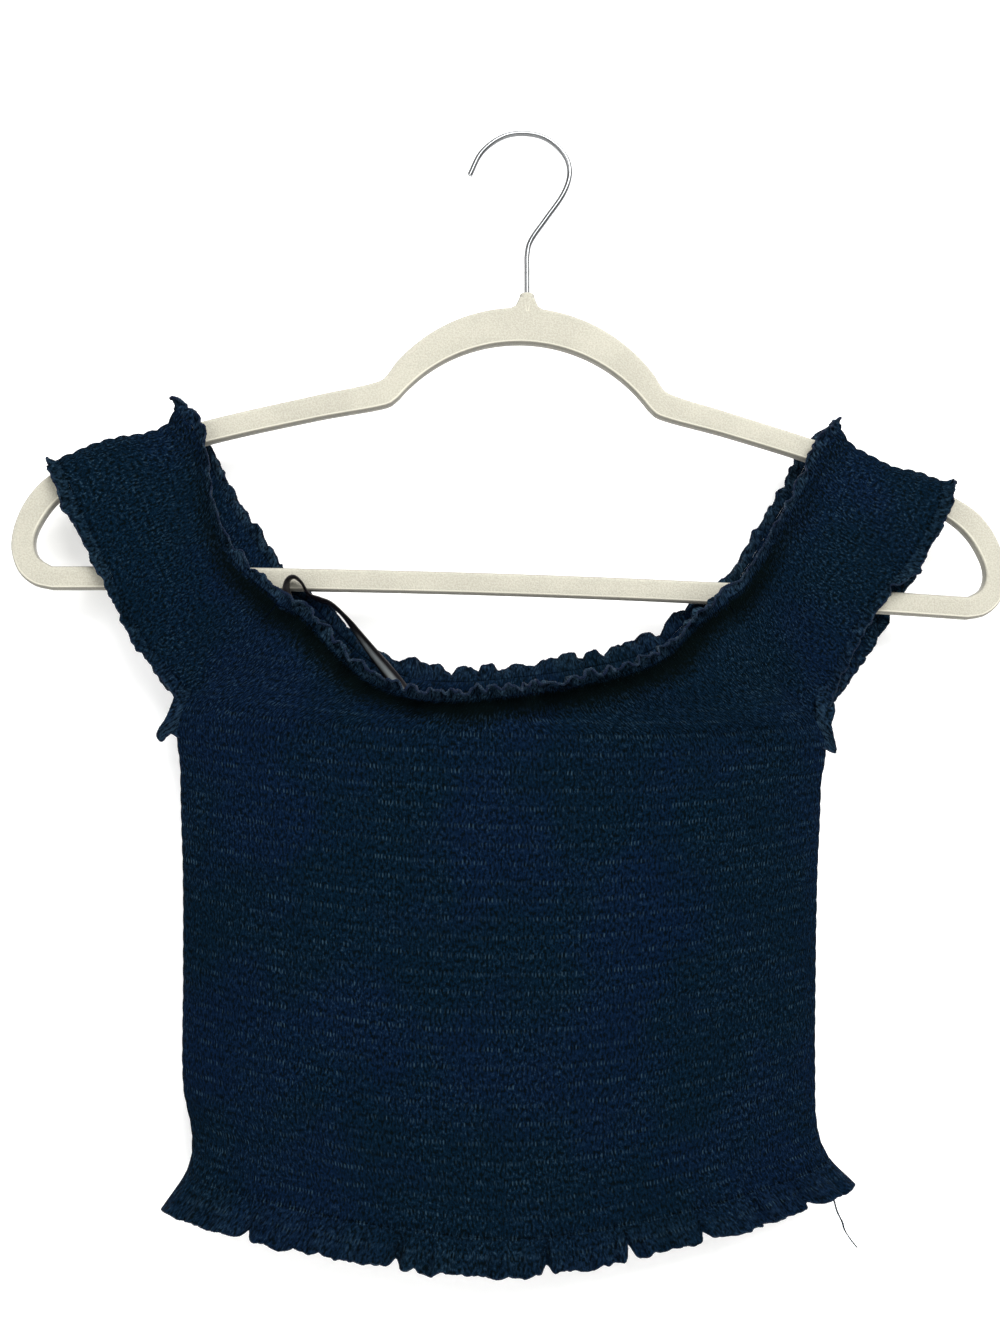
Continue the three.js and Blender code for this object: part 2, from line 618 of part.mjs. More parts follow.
function toGeometry(solid) {
  const mesh = solid.getMesh();
  const geometry = new THREE.BufferGeometry();
  geometry.setAttribute("position", new THREE.Float32BufferAttribute(mesh.vertProperties, 3));
  geometry.setIndex(new THREE.Uint32BufferAttribute(mesh.triVerts, 1));
  return geometry;
}

// A closed turned piece about the hook's shank, from radius and height pairs.
function turned(profile, sides) {
  const points = profile.map(([radius, z]) => new THREE.Vector2(radius, z));
  const geometry = new THREE.LatheGeometry(points, sides);
  geometry.rotateX(Math.PI / 2);
  geometry.translate(HANGER.neckX, 0, 0);
  return geometry;
}

function buildHangerBody() {
  const plate = new THREE.ExtrudeGeometry(hangerOutline(), {
    depth: HANGER.thickness - 2 * HANGER.bevel,
    bevelEnabled: true,
    bevelThickness: HANGER.bevel,
    bevelSize: HANGER.bevel,
    bevelOffset: -HANGER.bevel,
    bevelSegments: 1,
  });
  plate.rotateX(Math.PI / 2);
  plate.translate(0, HANGER.thickness / 2 - HANGER.bevel, 0);
  const rim = HANGER.neckTop - HANGER.bevel;
  const crown = BOSS.radius - HANGER.bevel;
  const sides = [[BOSS.radius, BOSS.footZ], [BOSS.radius, rim], [crown, HANGER.neckTop]];
  const boss = turned([[0, BOSS.footZ], ...sides, [0, HANGER.neckTop]], BOSS.sides);
  const foot = HANGER.neckTop - BOSS.boreDepth;
  const above = HANGER.neckTop + 1;
  const drilled = [[BOSS.boreRadius, foot], [BOSS.boreRadius, above]];
  const bore = turned([[0, foot], ...drilled, [0, above]], BOSS.boreSides);
  return toGeometry(toSolid(plate).add(toSolid(boss)).subtract(toSolid(bore)));
}

function buildHook() {
  const foot = HANGER.neckTop - BOSS.boreDepth + SEAM_GAP;
  const route = [...HOOK_ROUTE, { x: HANGER.neckX, z: foot }];
  const points = route.map((p) => new THREE.Vector3(p.x, 0, p.z));
  const curve = new THREE.CatmullRomCurve3(points, false, "centripetal");
  const section = new THREE.Shape(
    Array.from({ length: WIRE.sides }, (_, i) => {
      const turn = (2 * Math.PI * i) / WIRE.sides;
      return new THREE.Vector2(WIRE.radius * Math.cos(turn), WIRE.radius * Math.sin(turn));
    }),
  );
  return new THREE.ExtrudeGeometry(section, { steps: WIRE.steps, bevelEnabled: false, extrudePath: curve });
}

const cloth = new THREE.MeshStandardMaterial({ color: COLOUR.cloth, roughness: 0.95, metalness: 0 });
const satin = new THREE.MeshStandardMaterial({ color: COLOUR.ribbon, roughness: 0.35, metalness: 0 });
const flock = new THREE.MeshStandardMaterial({ color: COLOUR.flock, roughness: 0.9, metalness: 0 });
const chrome = new THREE.MeshStandardMaterial({ color: COLOUR.chrome, roughness: 0.15, metalness: 1 });

function piece(name, geometry, material) {
  const mesh = new THREE.Mesh(geometry, material);
  mesh.name = name;
  return mesh;
}

// Where each piece's waves begin, so that no two pieces ruffle alike.
const PHASE = { front: 0.4, back: 1.9, leftSleeve: 0.7, rightSleeve: 2.2 };
const front = buildPanel(FRONT_SECTIONS, -1, PHASE.front);
const back = buildPanel(BACK_SECTIONS, 1, PHASE.back);
const leftSleeve = buildSleeve(LEFT_SLEEVE, armhole(front, 0), armhole(back, 0), PHASE.leftSleeve);
const rightSleeve = buildSleeve(RIGHT_SLEEVE, armhole(front, -1), armhole(back, -1), PHASE.rightSleeve);
const garment = new THREE.Group();
garment.add(
  piece("front_panel", front.geometry, cloth),
  piece("back_panel", back.geometry, cloth),
  piece("sleeve_left", leftSleeve, cloth),
  piece("sleeve_right", rightSleeve, cloth),
  piece("hanging_loop", buildRibbon(), satin),
);
const hanger = new THREE.Group();
hanger.add(
  piece("hanger_body", buildHangerBody(), flock),
  piece("hanger_hook", buildHook(), chrome),
);
const top = new THREE.Group();
top.add(garment, hanger);
export default top;
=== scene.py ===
"""Off-shoulder crop top, shirred all over, hung by its short sleeves on a flocked hanger with a wire hook.

Tables and curves are in millimetres, in the frame's own place; every mesh is made in metres.
Left and right are the viewer's, as the top hangs.
"""

import math

import bpy
import numpy as np
from bpy.props import FloatProperty, FloatVectorProperty, IntProperty, PointerProperty
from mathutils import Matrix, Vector


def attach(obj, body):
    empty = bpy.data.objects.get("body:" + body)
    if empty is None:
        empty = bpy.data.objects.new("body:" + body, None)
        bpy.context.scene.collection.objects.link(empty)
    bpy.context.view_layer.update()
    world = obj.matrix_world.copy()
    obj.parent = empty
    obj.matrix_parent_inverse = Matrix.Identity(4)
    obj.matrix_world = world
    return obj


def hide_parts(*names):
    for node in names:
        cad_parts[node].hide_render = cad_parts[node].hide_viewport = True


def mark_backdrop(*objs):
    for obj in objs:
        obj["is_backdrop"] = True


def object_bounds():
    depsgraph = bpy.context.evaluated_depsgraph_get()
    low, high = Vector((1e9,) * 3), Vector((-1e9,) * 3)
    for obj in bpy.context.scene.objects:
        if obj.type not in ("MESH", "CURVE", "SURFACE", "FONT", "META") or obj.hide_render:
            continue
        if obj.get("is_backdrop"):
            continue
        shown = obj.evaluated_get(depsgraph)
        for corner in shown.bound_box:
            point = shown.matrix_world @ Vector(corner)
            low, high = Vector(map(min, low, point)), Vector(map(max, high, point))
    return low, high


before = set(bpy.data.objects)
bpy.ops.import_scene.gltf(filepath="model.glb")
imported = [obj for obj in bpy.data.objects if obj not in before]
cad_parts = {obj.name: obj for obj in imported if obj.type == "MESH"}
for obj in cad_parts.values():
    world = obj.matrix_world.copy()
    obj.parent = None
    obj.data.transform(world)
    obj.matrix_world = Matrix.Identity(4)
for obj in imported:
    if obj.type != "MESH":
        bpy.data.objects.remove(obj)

bl_info = {
    "name": "Shirred crop top on a hanger",
    "version": (1, 0, 0),
    "blender": (4, 5, 0),
    "location": "View3D > Sidebar > Crop top",
    "description": "Models a shirred off-shoulder top, its hanging loop and its hanger round a packed frame",
    "category": "Add Mesh",
}

MM = 0.001
HALF_TURN = math.pi


# Tables, with named columns, as in the solids

def table(names, rows):
    """Named columns of a table, as arrays."""
    return dict(zip(names, np.array(rows, float).T))


ROWS = {"neck_edge": -1, "first": 0, "underarm": 2, "last": 29, "hem_edge": 30}
ROW_PITCH = 8.0

# Where each row ends, how low it hangs in the middle, how far the cloth stands off the hanger's plane in the
# middle (depth) and at its ends (edge), its share of the neckline's shape and how pointed its sag is (bow).
SECTION_NAMES = ("row", "left_x", "left_z", "right_x", "right_z", "middle", "depth", "edge", "neck", "bow")
FRONT_SECTIONS = table(SECTION_NAMES, [
    (-1, -107.8, -213.5, 88.1, -210.0, -254.8, 13.0, 8.6, 1.0, 2.0),
    (0, -110.5, -218.5, 90.5, -216.0, -260.5, 9.6, 7.6, 1.0, 2.0),
    (1, -130.0, -242.5, 108.5, -247.0, -268.5, 11.0, 4.4, 0.8, 2.0),
    (2, -150.6, -262.5, 132.6, -271.0, -276.5, 11.8, 0.7, 0.55, 2.0),
    (6, -151.6, -292.3, 133.2, -299.5, -308.3, 12.6, 0.38, 0.0, 2.0),
    (12, -149.8, -337.1, 130.8, -342.2, -356.0, 12.8, 0.38, 0.0, 1.9),
    (18, -149.0, -381.9, 129.4, -385.0, -403.7, 13.0, 0.38, 0.0, 1.8),
    (24, -148.3, -426.6, 128.5, -428.0, -451.4, 13.4, 0.38, 0.0, 1.7),
    (27, -144.2, -448.6, 129.2, -449.6, -475.2, 13.8, 0.38, 0.0, 1.6),
    (29, -146.5, -463.8, 134.6, -463.6, -490.5, 14.4, 0.38, 0.0, 1.55),
    (30, -157.0, -478.8, 146.0, -474.5, -505.2, 17.0, 0.45, 0.0, 1.45),
])

# The back hangs flatter, and its first three rows are cut a little higher at the neck.
BACK_SECTIONS = {**FRONT_SECTIONS, **table(("middle", "depth"), [
    (-245.6, 9.0), (-251.6, 7.2), (-262.0, 8.0), (-271.5, 8.6), (-306.0, 9.2), (-356.0, 9.6),
    (-403.7, 9.8), (-451.4, 10.0), (-475.2, 10.2), (-490.5, 10.6), (-503.0, 13.0),
])}
BACK_NECK_ROWS = table(("left_x", "left_z", "right_x", "right_z", "edge"), [
    (-106.2, -205.5, 89.0, -206.0, 7.6),
    (-108.8, -210.5, 91.0, -211.5, 7.0),
    (-129.5, -239.5, 109.0, -244.5, 4.2),
])
for name, column in BACK_NECK_ROWS.items():
    BACK_SECTIONS[name] = np.concatenate([column, FRONT_SECTIONS[name][len(column):]])

# The neckline's own shape: the share of its full drop at each place across.
NECK_SHAPE = table(("across", "drop"), [
    (-1.0, 0.0), (-0.88, 0.16), (-0.75, 0.5), (-0.59, 0.82), (-0.35, 1.0),
    (0.0, 0.97), (0.45, 0.8), (0.7, 0.6), (0.85, 0.27), (1.0, 0.0),
])

# Soft creases: where they start and end on a piece (share across, elastic row), how wide they
# are in millimetres and how far they stand out, or in where that is negative.
CREASE_NAMES = ("across", "row", "end_across", "end_row", "width", "height")
CREASES = {
    "front_panel": table(CREASE_NAMES, [
        (-0.97, 3.0, -0.52, 1.2, 7.0, 1.1),
        (-0.95, 4.6, -0.58, 3.4, 6.0, -0.8),
        (0.97, 2.8, 0.62, 0.6, 6.0, 1.2),
        (0.96, 4.2, 0.68, 2.4, 5.0, -0.9),
        (-0.80, 27.6, -0.97, 30.0, 9.0, 1.2),
        (0.84, 26.8, 0.97, 30.0, 8.0, 1.3),
        (-0.62, 9.0, -0.44, 21.0, 26.0, 0.9),
        (0.58, 7.0, 0.66, 17.5, 22.0, 0.8),
        (0.10, 12.0, -0.06, 25.0, 30.0, -0.7),
        (0.31, 23.0, 0.36, 29.5, 8.0, -0.8),
    ]),
    "back_panel": table(CREASE_NAMES, [
        (-0.97, 3.2, -0.60, 1.0, 6.0, 1.0),
        (0.97, 3.0, 0.55, 1.4, 7.0, 1.1),
        (-0.30, 2.5, -0.38, 14.0, 24.0, 0.9),
        (0.36, 5.0, 0.27, 20.0, 28.0, -0.8),
        (-0.74, 12.0, -0.66, 26.0, 20.0, 0.8),
        (0.78, 18.0, 0.90, 29.5, 12.0, 1.0),
        (-0.12, 22.0, -0.16, 29.8, 9.0, -0.8),
    ]),
    "sleeve_left": table(CREASE_NAMES, [
        (-0.92, 7.6, -0.62, 3.2, 6.0, -0.9),
        (-0.36, 9.0, -0.30, 6.2, 5.0, 0.8),
        (-0.16, 0.4, -0.30, 2.6, 5.0, 0.8),
        (0.86, 7.8, 0.55, 3.0, 7.0, -0.9),
        (0.40, 1.0, 0.52, 4.0, 6.0, 0.7),
    ]),
    "sleeve_right": table(CREASE_NAMES, [
        (-0.94, 8.4, -0.66, 3.0, 6.0, -1.0),
        (-0.46, 9.0, -0.40, 5.0, 5.0, -1.1),
        (-0.30, 8.6, -0.22, 5.4, 6.0, 0.9),
        (0.88, 8.0, 0.60, 2.6, 7.0, -0.8),
        (0.34, 0.8, 0.46, 4.4, 6.0, 0.8),
    ]),
}

# The frills' deeper folds: where along the edge (share across), how wide in millimetres, how
# far they go in (push) and how far they lift the edge.
FOLD_NAMES = ("across", "width", "push", "lift")
FOLDS = {
    "front_hem": table(FOLD_NAMES, [
        (-0.93, 3.0, 1.6, 0.4), (-0.76, 1.9, 3.4, 3.4), (-0.66, 4.0, -1.2, -0.8), (-0.55, 3.0, 1.4, 0.8),
        (-0.345, 1.9, 3.6, 3.2), (-0.25, 4.4, -1.4, -1.0), (-0.12, 3.2, 1.6, 0.6), (0.085, 2.0, 3.4, 3.6),
        (0.2, 4.2, -1.2, -1.0), (0.325, 1.6, 3.8, 5.0), (0.44, 3.0, 1.6, 0.8), (0.545, 1.8, 3.2, 3.4),
        (0.64, 4.2, -1.2, -0.8), (0.72, 3.0, 1.4, 0.8), (0.855, 2.0, 3.2, 3.2),
    ]),
    "back_hem": table(FOLD_NAMES, [
        (-0.84, 2.8, 2.2, 2.0), (-0.61, 3.2, 1.6, 0.8), (-0.42, 2.2, 2.6, 3.0), (-0.20, 3.4, 1.2, 0.6),
        (0.02, 2.4, 2.4, 2.4), (0.19, 3.0, 1.6, 1.0), (0.41, 2.2, 2.8, 3.2), (0.66, 2.8, 1.8, 1.6),
        (0.90, 2.6, 2.0, 1.2),
    ]),
    "front_neck": table(FOLD_NAMES, [
        (-0.78, 3.4, 1.2, 0.9), (-0.62, 2.6, 1.4, -0.8), (-0.36, 5.0, -1.8, -1.6), (-0.22, 2.4, 1.2, 1.4),
        (-0.02, 4.0, -1.0, -0.8), (0.15, 2.8, 1.2, 0.8), (0.33, 4.4, -0.8, -0.9), (0.47, 2.2, 1.6, 1.0),
        (0.66, 3.6, 1.0, -0.9), (0.84, 3.0, 1.2, 0.8),
    ]),
    "back_neck": table(FOLD_NAMES, [
        (-0.76, 3.4, 1.4, -1.2), (-0.60, 2.4, 1.4, 1.6), (-0.41, 9.0, -1.6, -4.6), (-0.25, 2.2, 1.6, 1.2),
        (-0.13, 3.8, 1.0, -0.8), (0.10, 2.0, 1.8, 1.6), (0.28, 7.0, -1.4, -3.0), (0.43, 2.0, 1.8, 0.8),
        (0.62, 6.5, 1.2, -3.0), (0.84, 3.0, 1.4, -1.0),
    ]),
    "left_cuff": table(FOLD_NAMES, [
        (-0.80, 2.6, 1.6, 1.2), (-0.46, 2.4, 1.4, -1.0), (-0.25, 3.0, -1.6, -1.8), (0.22, 2.4, 1.6, -1.0),
        (0.52, 2.6, 1.6, 1.2), (0.82, 2.2, 1.4, 0.8),
    ]),
    "right_cuff": table(FOLD_NAMES, [
        (-0.84, 2.6, 1.6, 1.2), (-0.50, 2.4, 2.2, 3.4), (-0.42, 2.2, -1.4, -2.0), (0.24, 2.4, 1.6, -1.2),
        (0.55, 2.6, 1.6, 1.4), (0.80, 2.2, 1.4, 0.8), (-0.02, 2.4, 0.0, -3.4),
    ]),
    "left_neck": table(FOLD_NAMES, [
        (-0.78, 2.2, 1.6, -1.0), (-0.48, 2.0, 1.4, 0.8), (-0.26, 2.2, 1.4, -0.9), (0.20, 2.2, 1.4, -0.8),
        (0.46, 2.0, 1.6, 1.2), (0.74, 2.2, 1.6, -1.2),
    ]),
    "right_neck": table(FOLD_NAMES, [
        (-0.82, 2.0, 1.6, -1.4), (-0.50, 2.2, 1.4, 0.8), (-0.24, 2.0, 1.6, -1.2), (0.22, 2.2, 1.6, -1.6),
        (0.44, 1.8, 1.6, 1.2), (0.70, 2.2, 1.4, -1.4),
    ]),
}

SLEEVE = {
    "rows": 10, "fold_radius": 6.4, "fold_share": 0.14, "belly": 1.4, "edge_share": 0.07, "spread_from": 0.25,
    "arm_gap": 1.0, "seam_gap": 0.2,
}
EDGE_NAMES = ("x", "z")
LEFT_SLEEVE = {
    "fold": table(("x", "lift"), [
        (-155.0, 11.5), (-160.5, 2.0), (-168.0, 0.5), (-176.5, 1.6),
        (-184.0, 3.0), (-192.0, 3.4), (-201.0, 2.8), (-211.0, 4.6),
    ]),
    "front_neck": table(EDGE_NAMES, [(-145.0, -137.5), (-141.6, -150.0), (-137.5, -176.0), (-127.5, -196.0)]),
    "back_neck": table(EDGE_NAMES, [(-147.0, -137.0), (-139.5, -151.5), (-129.5, -170.5), (-114.0, -192.5)]),
    "front_cuff": table(EDGE_NAMES, [(-203.5, -173.5), (-188.6, -203.0), (-172.0, -236.0), (-159.0, -252.5)]),
    "back_cuff": table(EDGE_NAMES, [(-205.5, -176.0), (-188.0, -204.5), (-172.0, -236.5), (-160.0, -254.0)]),
}
RIGHT_SLEEVE = {
    "fold": table(("x", "lift"), [
        (142.5, 11.0), (150.5, 2.4), (159.0, 1.0), (169.0, 0.0),
        (177.0, 1.4), (185.0, 2.8), (191.5, 3.4), (196.0, 4.2),
    ]),
    "front_neck": table(EDGE_NAMES, [(132.0, -143.0), (123.5, -160.5), (109.5, -184.5), (96.5, -204.5)]),
    "back_neck": table(EDGE_NAMES, [(130.5, -142.0), (121.5, -159.0), (107.5, -182.0), (97.0, -199.0)]),
    "front_cuff": table(EDGE_NAMES, [(193.0, -173.0), (177.0, -200.5), (158.0, -220.5), (144.0, -248.5)]),
    "back_cuff": table(EDGE_NAMES, [(193.6, -180.0), (180.0, -205.0), (167.0, -226.5), (152.5, -246.5)]),
}

# The corners of the cuffs' frills that stick out under the arms, from root to edge, and how far forward they
# stand. Then a pulled thread, from the hem's overlocked edge down.
FLAPS = {
    "left_flap": {
        "root": [(-147.5, -255.5), (-149.3, -263.0), (-150.8, -270.5), (-150.6, -276.0)],
        "edge": [(-154.0, -256.5), (-158.3, -268.8), (-162.0, -276.2), (-160.2, -278.8), (-156.8, -275.4),
                 (-152.0, -277.4)],
    },
    "right_flap": {
        "root": [(131.0, -253.5), (131.4, -262.0), (131.6, -272.0), (131.4, -280.0)],
        "edge": [(137.0, -253.5), (140.2, -263.3), (138.0, -272.0), (141.0, -283.4), (133.4, -281.6)],
    },
}
FLAP_FORWARD = 2.6
PULLED_THREAD = [
    (132.7, -12.7, -477.4), (133.1, -12.5, -478.4), (134.0, -13.6, -482.5), (135.8, -14.6, -486.5),
    (136.5, -15.2, -489.4), (138.6, -16.0, -493.0), (141.5, -16.8, -496.7),
]
PULLED_THREAD_RADIUS = 0.34

# The hanging loop's route, as in the solids. Turn is how far its width is turned, in degrees, towards lying
# across the view.
LOOP = {"width": 6.0, "thickness": 0.35, "bow": 0.55}
LOOP_ROUTE = table(("x", "y", "z", "turn"), [
    (-103.6, -5.9, -227.0, 82),
    (-105.6, -5.2, -218.0, 76),
    (-106.6, -5.7, -211.4, 40),
    (-105.6, -6.8, -207.8, 14),
    (-103.0, -7.3, -206.6, 8),
    (-99.8, -6.8, -209.0, 9),
    (-96.6, -5.4, -214.0, 16),
    (-92.4, -3.6, -216.0, 14),
    (-87.0, -2.2, -218.0, 14),
    (-80.9, -1.0, -223.4, 24),
    (-75.1, 0.2, -230.6, 32),
    (-68.8, 1.4, -238.8, 44),
    (-64.6, 2.4, -243.9, 56),
    (-60.5, 3.4, -248.8, 66),
    (-57.2, 4.4, -252.9, 76),
    (-54.0, 5.3, -257.0, 78),
])

# The hanger, drawn square and then tipped about its neck as it hangs, and its hook.
HANGER = {
    "tip": math.radians(1.4), "neck_x": 0.7, "neck_top": -74.5, "arch_top": -81.3, "arch_radius": 75.5,
    "arch_inner_top": -98.2, "arch_inner_radius": 72.0, "bar_top": -203.6, "bar_bottom": -213.6,
    "boss_foot": -84.0, "bore_radius": 1.5, "bore_depth": 8.9, "wire_foot": -83.2,
}
NECK_FLARE = [(0.0, -76.0), (3.4, -76.3), (4.3, -78.6), (5.2, -80.4), (7.3, -81.6)]
ARM_TOP = [(61.0, -112.9), (66.2, -118.3), (93.5, -125.8), (140.0, -138.8), (175.0, -151.0), (200.0, -161.4)]
END_OUTSIDE = [
    (212.5, -169.5), (221.0, -182.0), (224.6, -197.0), (221.5, -209.0), (214.5, -215.6), (206.0, -217.6),
]
ARM_BOTTOM = [
    (56.5, -125.6), (62.5, -130.0), (93.4, -137.2), (140.0, -149.8), (175.0, -162.2), (196.0, -171.6),
]
END_INSIDE = [(206.0, -179.5), (212.6, -190.0), (214.4, -197.5), (212.4, -203.6), (206.5, -207.2)]
HOOK_ROUTE = [
    (-25.6, -19.4), (-20.8, -9.4), (-14.4, -3.2), (-7.6, 0.2), (0.0, 1.1), (7.8, -0.2), (14.6, -4.4),
    (19.4, -10.8), (20.4, -18.4), (17.2, -27.6), (9.2, -39.4), (2.4, -49.6), (0.8, -56.0), (0.7, -64.0),
]

# The eye, what it looks at, and its picture, whose focal length is in the picture's own dots.
CAMERA = {
    "eye": (-54.8, -617.0, -288.4), "target": (-11.65, 0.0, -245.2),
    "picture_height": 1333, "focal_length": 1383.9, "sensor": 36,
}

# Where the lights aim, in metres.
LIT_PLACE = (0, 0, -0.25)


# Settings that a user would change

class ClothSettings(bpy.types.PropertyGroup):
    pucker_pitch: FloatProperty(
        name="Pucker pitch", description="Distance between the small gathers along an elastic row",
        default=1.43 * MM, unit="LENGTH", precision=5)
    puff: FloatProperty(
        name="Puff", description="How far the cloth stands out between two elastic rows",
        default=0.85 * MM, unit="LENGTH", precision=5)
    pucker_height: FloatProperty(
        name="Pucker height", description="Height of the small gathers at an elastic row",
        default=0.3 * MM, unit="LENGTH", precision=5)
    thickness: FloatProperty(
        name="Cloth thickness", description="Thickness of the gathered cloth in a frill",
        default=0.7 * MM, unit="LENGTH", precision=5)
    thread_radius: FloatProperty(
        name="Edge thread", description="Radius of the overlocked edge",
        default=0.42 * MM, unit="LENGTH", precision=5)
    navy: FloatVectorProperty(
        name="Navy", description="Colour of the cloth", subtype="COLOR", default=(0.0009, 0.0060, 0.0205))
    deep: FloatVectorProperty(
        name="Deep", description="Colour of the cloth in its darker patches", subtype="COLOR",
        default=(0.0005, 0.0060, 0.0150))
    # Painted highlight: this colour stands in for light caught by the tops of the gathers and the frills'
    # crumples.
    crest: FloatVectorProperty(
        name="Crest", description="Colour of the worn tops of the gathers", subtype="COLOR",
        default=(0.022, 0.046, 0.069))
    thread: FloatVectorProperty(
        name="Thread", description="Colour of the overlocked edge", subtype="COLOR",
        default=(0.020, 0.040, 0.056))
    satin: FloatVectorProperty(
        name="Satin", description="Colour of the hanging loop", subtype="COLOR",
        default=(0.005, 0.004, 0.005))
    seed: IntProperty(name="Seed", description="Starts the uneven gathers", default=7)


class HangerSettings(bpy.types.PropertyGroup):
    thickness: FloatProperty(
        name="Thickness", description="Thickness of the hanger's flat body",
        default=6 * MM, unit="LENGTH", precision=4)
    bevel: FloatProperty(
        name="Edge radius", description="Rounding of the hanger's edges",
        default=1.8 * MM, unit="LENGTH", precision=4)
    boss_radius: FloatProperty(
        name="Boss radius", description="Radius of the boss that holds the hook",
        default=3.4 * MM, unit="LENGTH", precision=4)
    wire_radius: FloatProperty(
        name="Wire radius", description="Radius of the hook's wire",
        default=1.3 * MM, unit="LENGTH", precision=4)
    flock: FloatVectorProperty(
        name="Flock", description="Colour of the hanger's velvet", subtype="COLOR",
        default=(0.42, 0.403, 0.335))


class StageSettings(bpy.types.PropertyGroup):
    wall_gap: FloatProperty(
        name="Wall distance", description="How far the wall is behind the hanger",
        default=22 * MM, unit="LENGTH", precision=4)
    floor_drop: FloatProperty(
        name="Floor drop", description="How far the floor is below the hem",
        default=0.45, unit="LENGTH")
    key_power: FloatProperty(name="Key light", description="Power of the large light above", default=54.0)
    fill_power: FloatProperty(name="Fill light", description="Power of the light on the left", default=9.0)
    room: FloatProperty(name="Room light", description="Strength of the light from all round", default=0.42)


class TopSettings(bpy.types.PropertyGroup):
    cloth: PointerProperty(type=ClothSettings)
    hanger: PointerProperty(type=HangerSettings)
    stage: PointerProperty(type=StageSettings)


# Shader maths

class Value:
    """A number that varies over a surface, so that shader maths reads as plain Python."""

    def __init__(self, shader, socket):
        self.shader, self.socket = shader, socket

    def _math(self, operation, *terms, clamp=False):
        return self.shader.node("Math", {"operation": operation, "use_clamp": clamp}, *terms).value

    def __add__(self, other):
        return self._math("ADD", self, other)

    def __sub__(self, other):
        return self._math("SUBTRACT", self, other)

    def __rsub__(self, other):
        return self._math("SUBTRACT", other, self)

    def __mul__(self, other):
        return self._math("MULTIPLY", self, other)

    def __truediv__(self, other):
        return self._math("DIVIDE", self, other)

    __radd__ = __add__
    __rmul__ = __mul__

    def apply(self, operation, *others):
        return self._math(operation, self, *others)

    def step(self, low, high):
        """0 below low, 1 above high and smooth between; the other way round if low is the higher."""
        settings = {"interpolation_type": "SMOOTHSTEP", "clamp": True}
        made = self.shader.node("MapRange", settings, self, min(low, high), max(low, high))
        return made.value if low < high else 1 - made.value


class Made:
    """A node just made: its outputs by name, and its first output as a value."""

    def __init__(self, shader, node):
        self.shader, self.node = shader, node

    @property
    def value(self):
        return Value(self.shader, next(s for s in self.node.outputs if s.enabled))

    def __getitem__(self, name):
        return Value(self.shader, self.node.outputs[name])


class Shader:
    """One material and its node tree."""

    def __init__(self, name):
        self.material = bpy.data.materials.new(name)
        self.material.use_nodes = True
        self.tree = self.material.node_tree
        self.tree.nodes.clear()

    def node(self, kind, settings=None, *inputs, **named):
        """Any node: its settings first, then its sockets in order, then its sockets by name."""
        node = self.tree.nodes.new("ShaderNode" + kind)
        for key, value in (settings or {}).items():
            setattr(node, key, value)
        sockets = [s for s in node.inputs if s.enabled]
        for socket, value in zip(sockets, inputs):
            self.put(socket, value)
        for name, value in named.items():
            self.put(node.inputs[name.replace("_", " ")], value)
        return Made(self, node)

    def put(self, socket, value):
        if isinstance(value, Made):
            value = value.value
        if isinstance(value, Value):
            self.tree.links.new(value.socket, socket)
        else:
            socket.default_value = value

    def mix(self, share, low, high):
        """A colour between two colours."""
        made = self.node("Mix", {"data_type": "RGBA"})
        for name, value in (("Factor_Float", share), ("A_Color", low), ("B_Color", high)):
            self.put(next(s for s in made.node.inputs if s.identifier == name), value)
        return Value(self, next(s for s in made.node.outputs if s.identifier == "Result_Color"))

    def vector(self, x, y, z=0.0):
        return self.node("CombineXYZ", None, x, y, z)

    def noise(self, place, scale, detail=2.0, roughness=0.5):
        made = self.node("TexNoise", None, Vector=place, Scale=scale, Detail=detail, Roughness=roughness)
        return made["Fac"]

    def gather(self):
        """The three parts of a piece's gather attribute."""
        return self.node("SeparateXYZ", None, self.node("Attribute", {"attribute_name": "gather"})["Vector"])

    def bump(self, height, distance, strength=1.0):
        return self.node("Bump", None, Height=height, Distance=distance, Strength=strength)

    def surfaced(self, surface):
        """The material, finished with this surface."""
        output = self.tree.nodes.new("ShaderNodeOutputMaterial")
        self.tree.links.new(surface.value.socket, output.inputs["Surface"])
        return self.material

    def finish(self, **sockets):
        """The material, finished with a Principled BSDF that has these sockets, by name."""
        return self.surfaced(self.node("BsdfPrincipled", None, **sockets))


def rgba(colour):
    return (*colour, 1.0)


def settings():
    return bpy.context.scene.crop_top


# Curves and surfaces, in millimetres

def smooth(keys, values, at):
    """A smooth value between the points of a column, with the slope of its neighbours at each point."""
    keys, values, at = (np.asarray(x, float) for x in (keys, values, at))
    slopes = np.empty_like(values)
    slopes[1:-1] = (values[2:] - values[:-2]) / (keys[2:] - keys[:-2])
    slopes[0] = (values[1] - values[0]) / (keys[1] - keys[0])
    slopes[-1] = (values[-1] - values[-2]) / (keys[-1] - keys[-2])
    i = np.clip(np.searchsorted(keys, at, side="right") - 1, 0, len(keys) - 2)
    span = keys[i + 1] - keys[i]
    s = np.clip((at - keys[i]) / span, 0, 1)
    bend = s * (1 - s) * span * (slopes[i] * (1 - s) - slopes[i + 1] * s)
    return values[i] + (values[i + 1] - values[i]) * s * s * (3 - 2 * s) + bend


def mix(a, b, share):
    return a + (b - a) * share


def ease(low, high, value):
    s = np.clip((value - low) / (high - low), 0, 1)
    return s * s * (3 - 2 * s)


def stacked(x, y, z):
    return np.stack(np.broadcast_arrays(x, y, z), -1).astype(float)


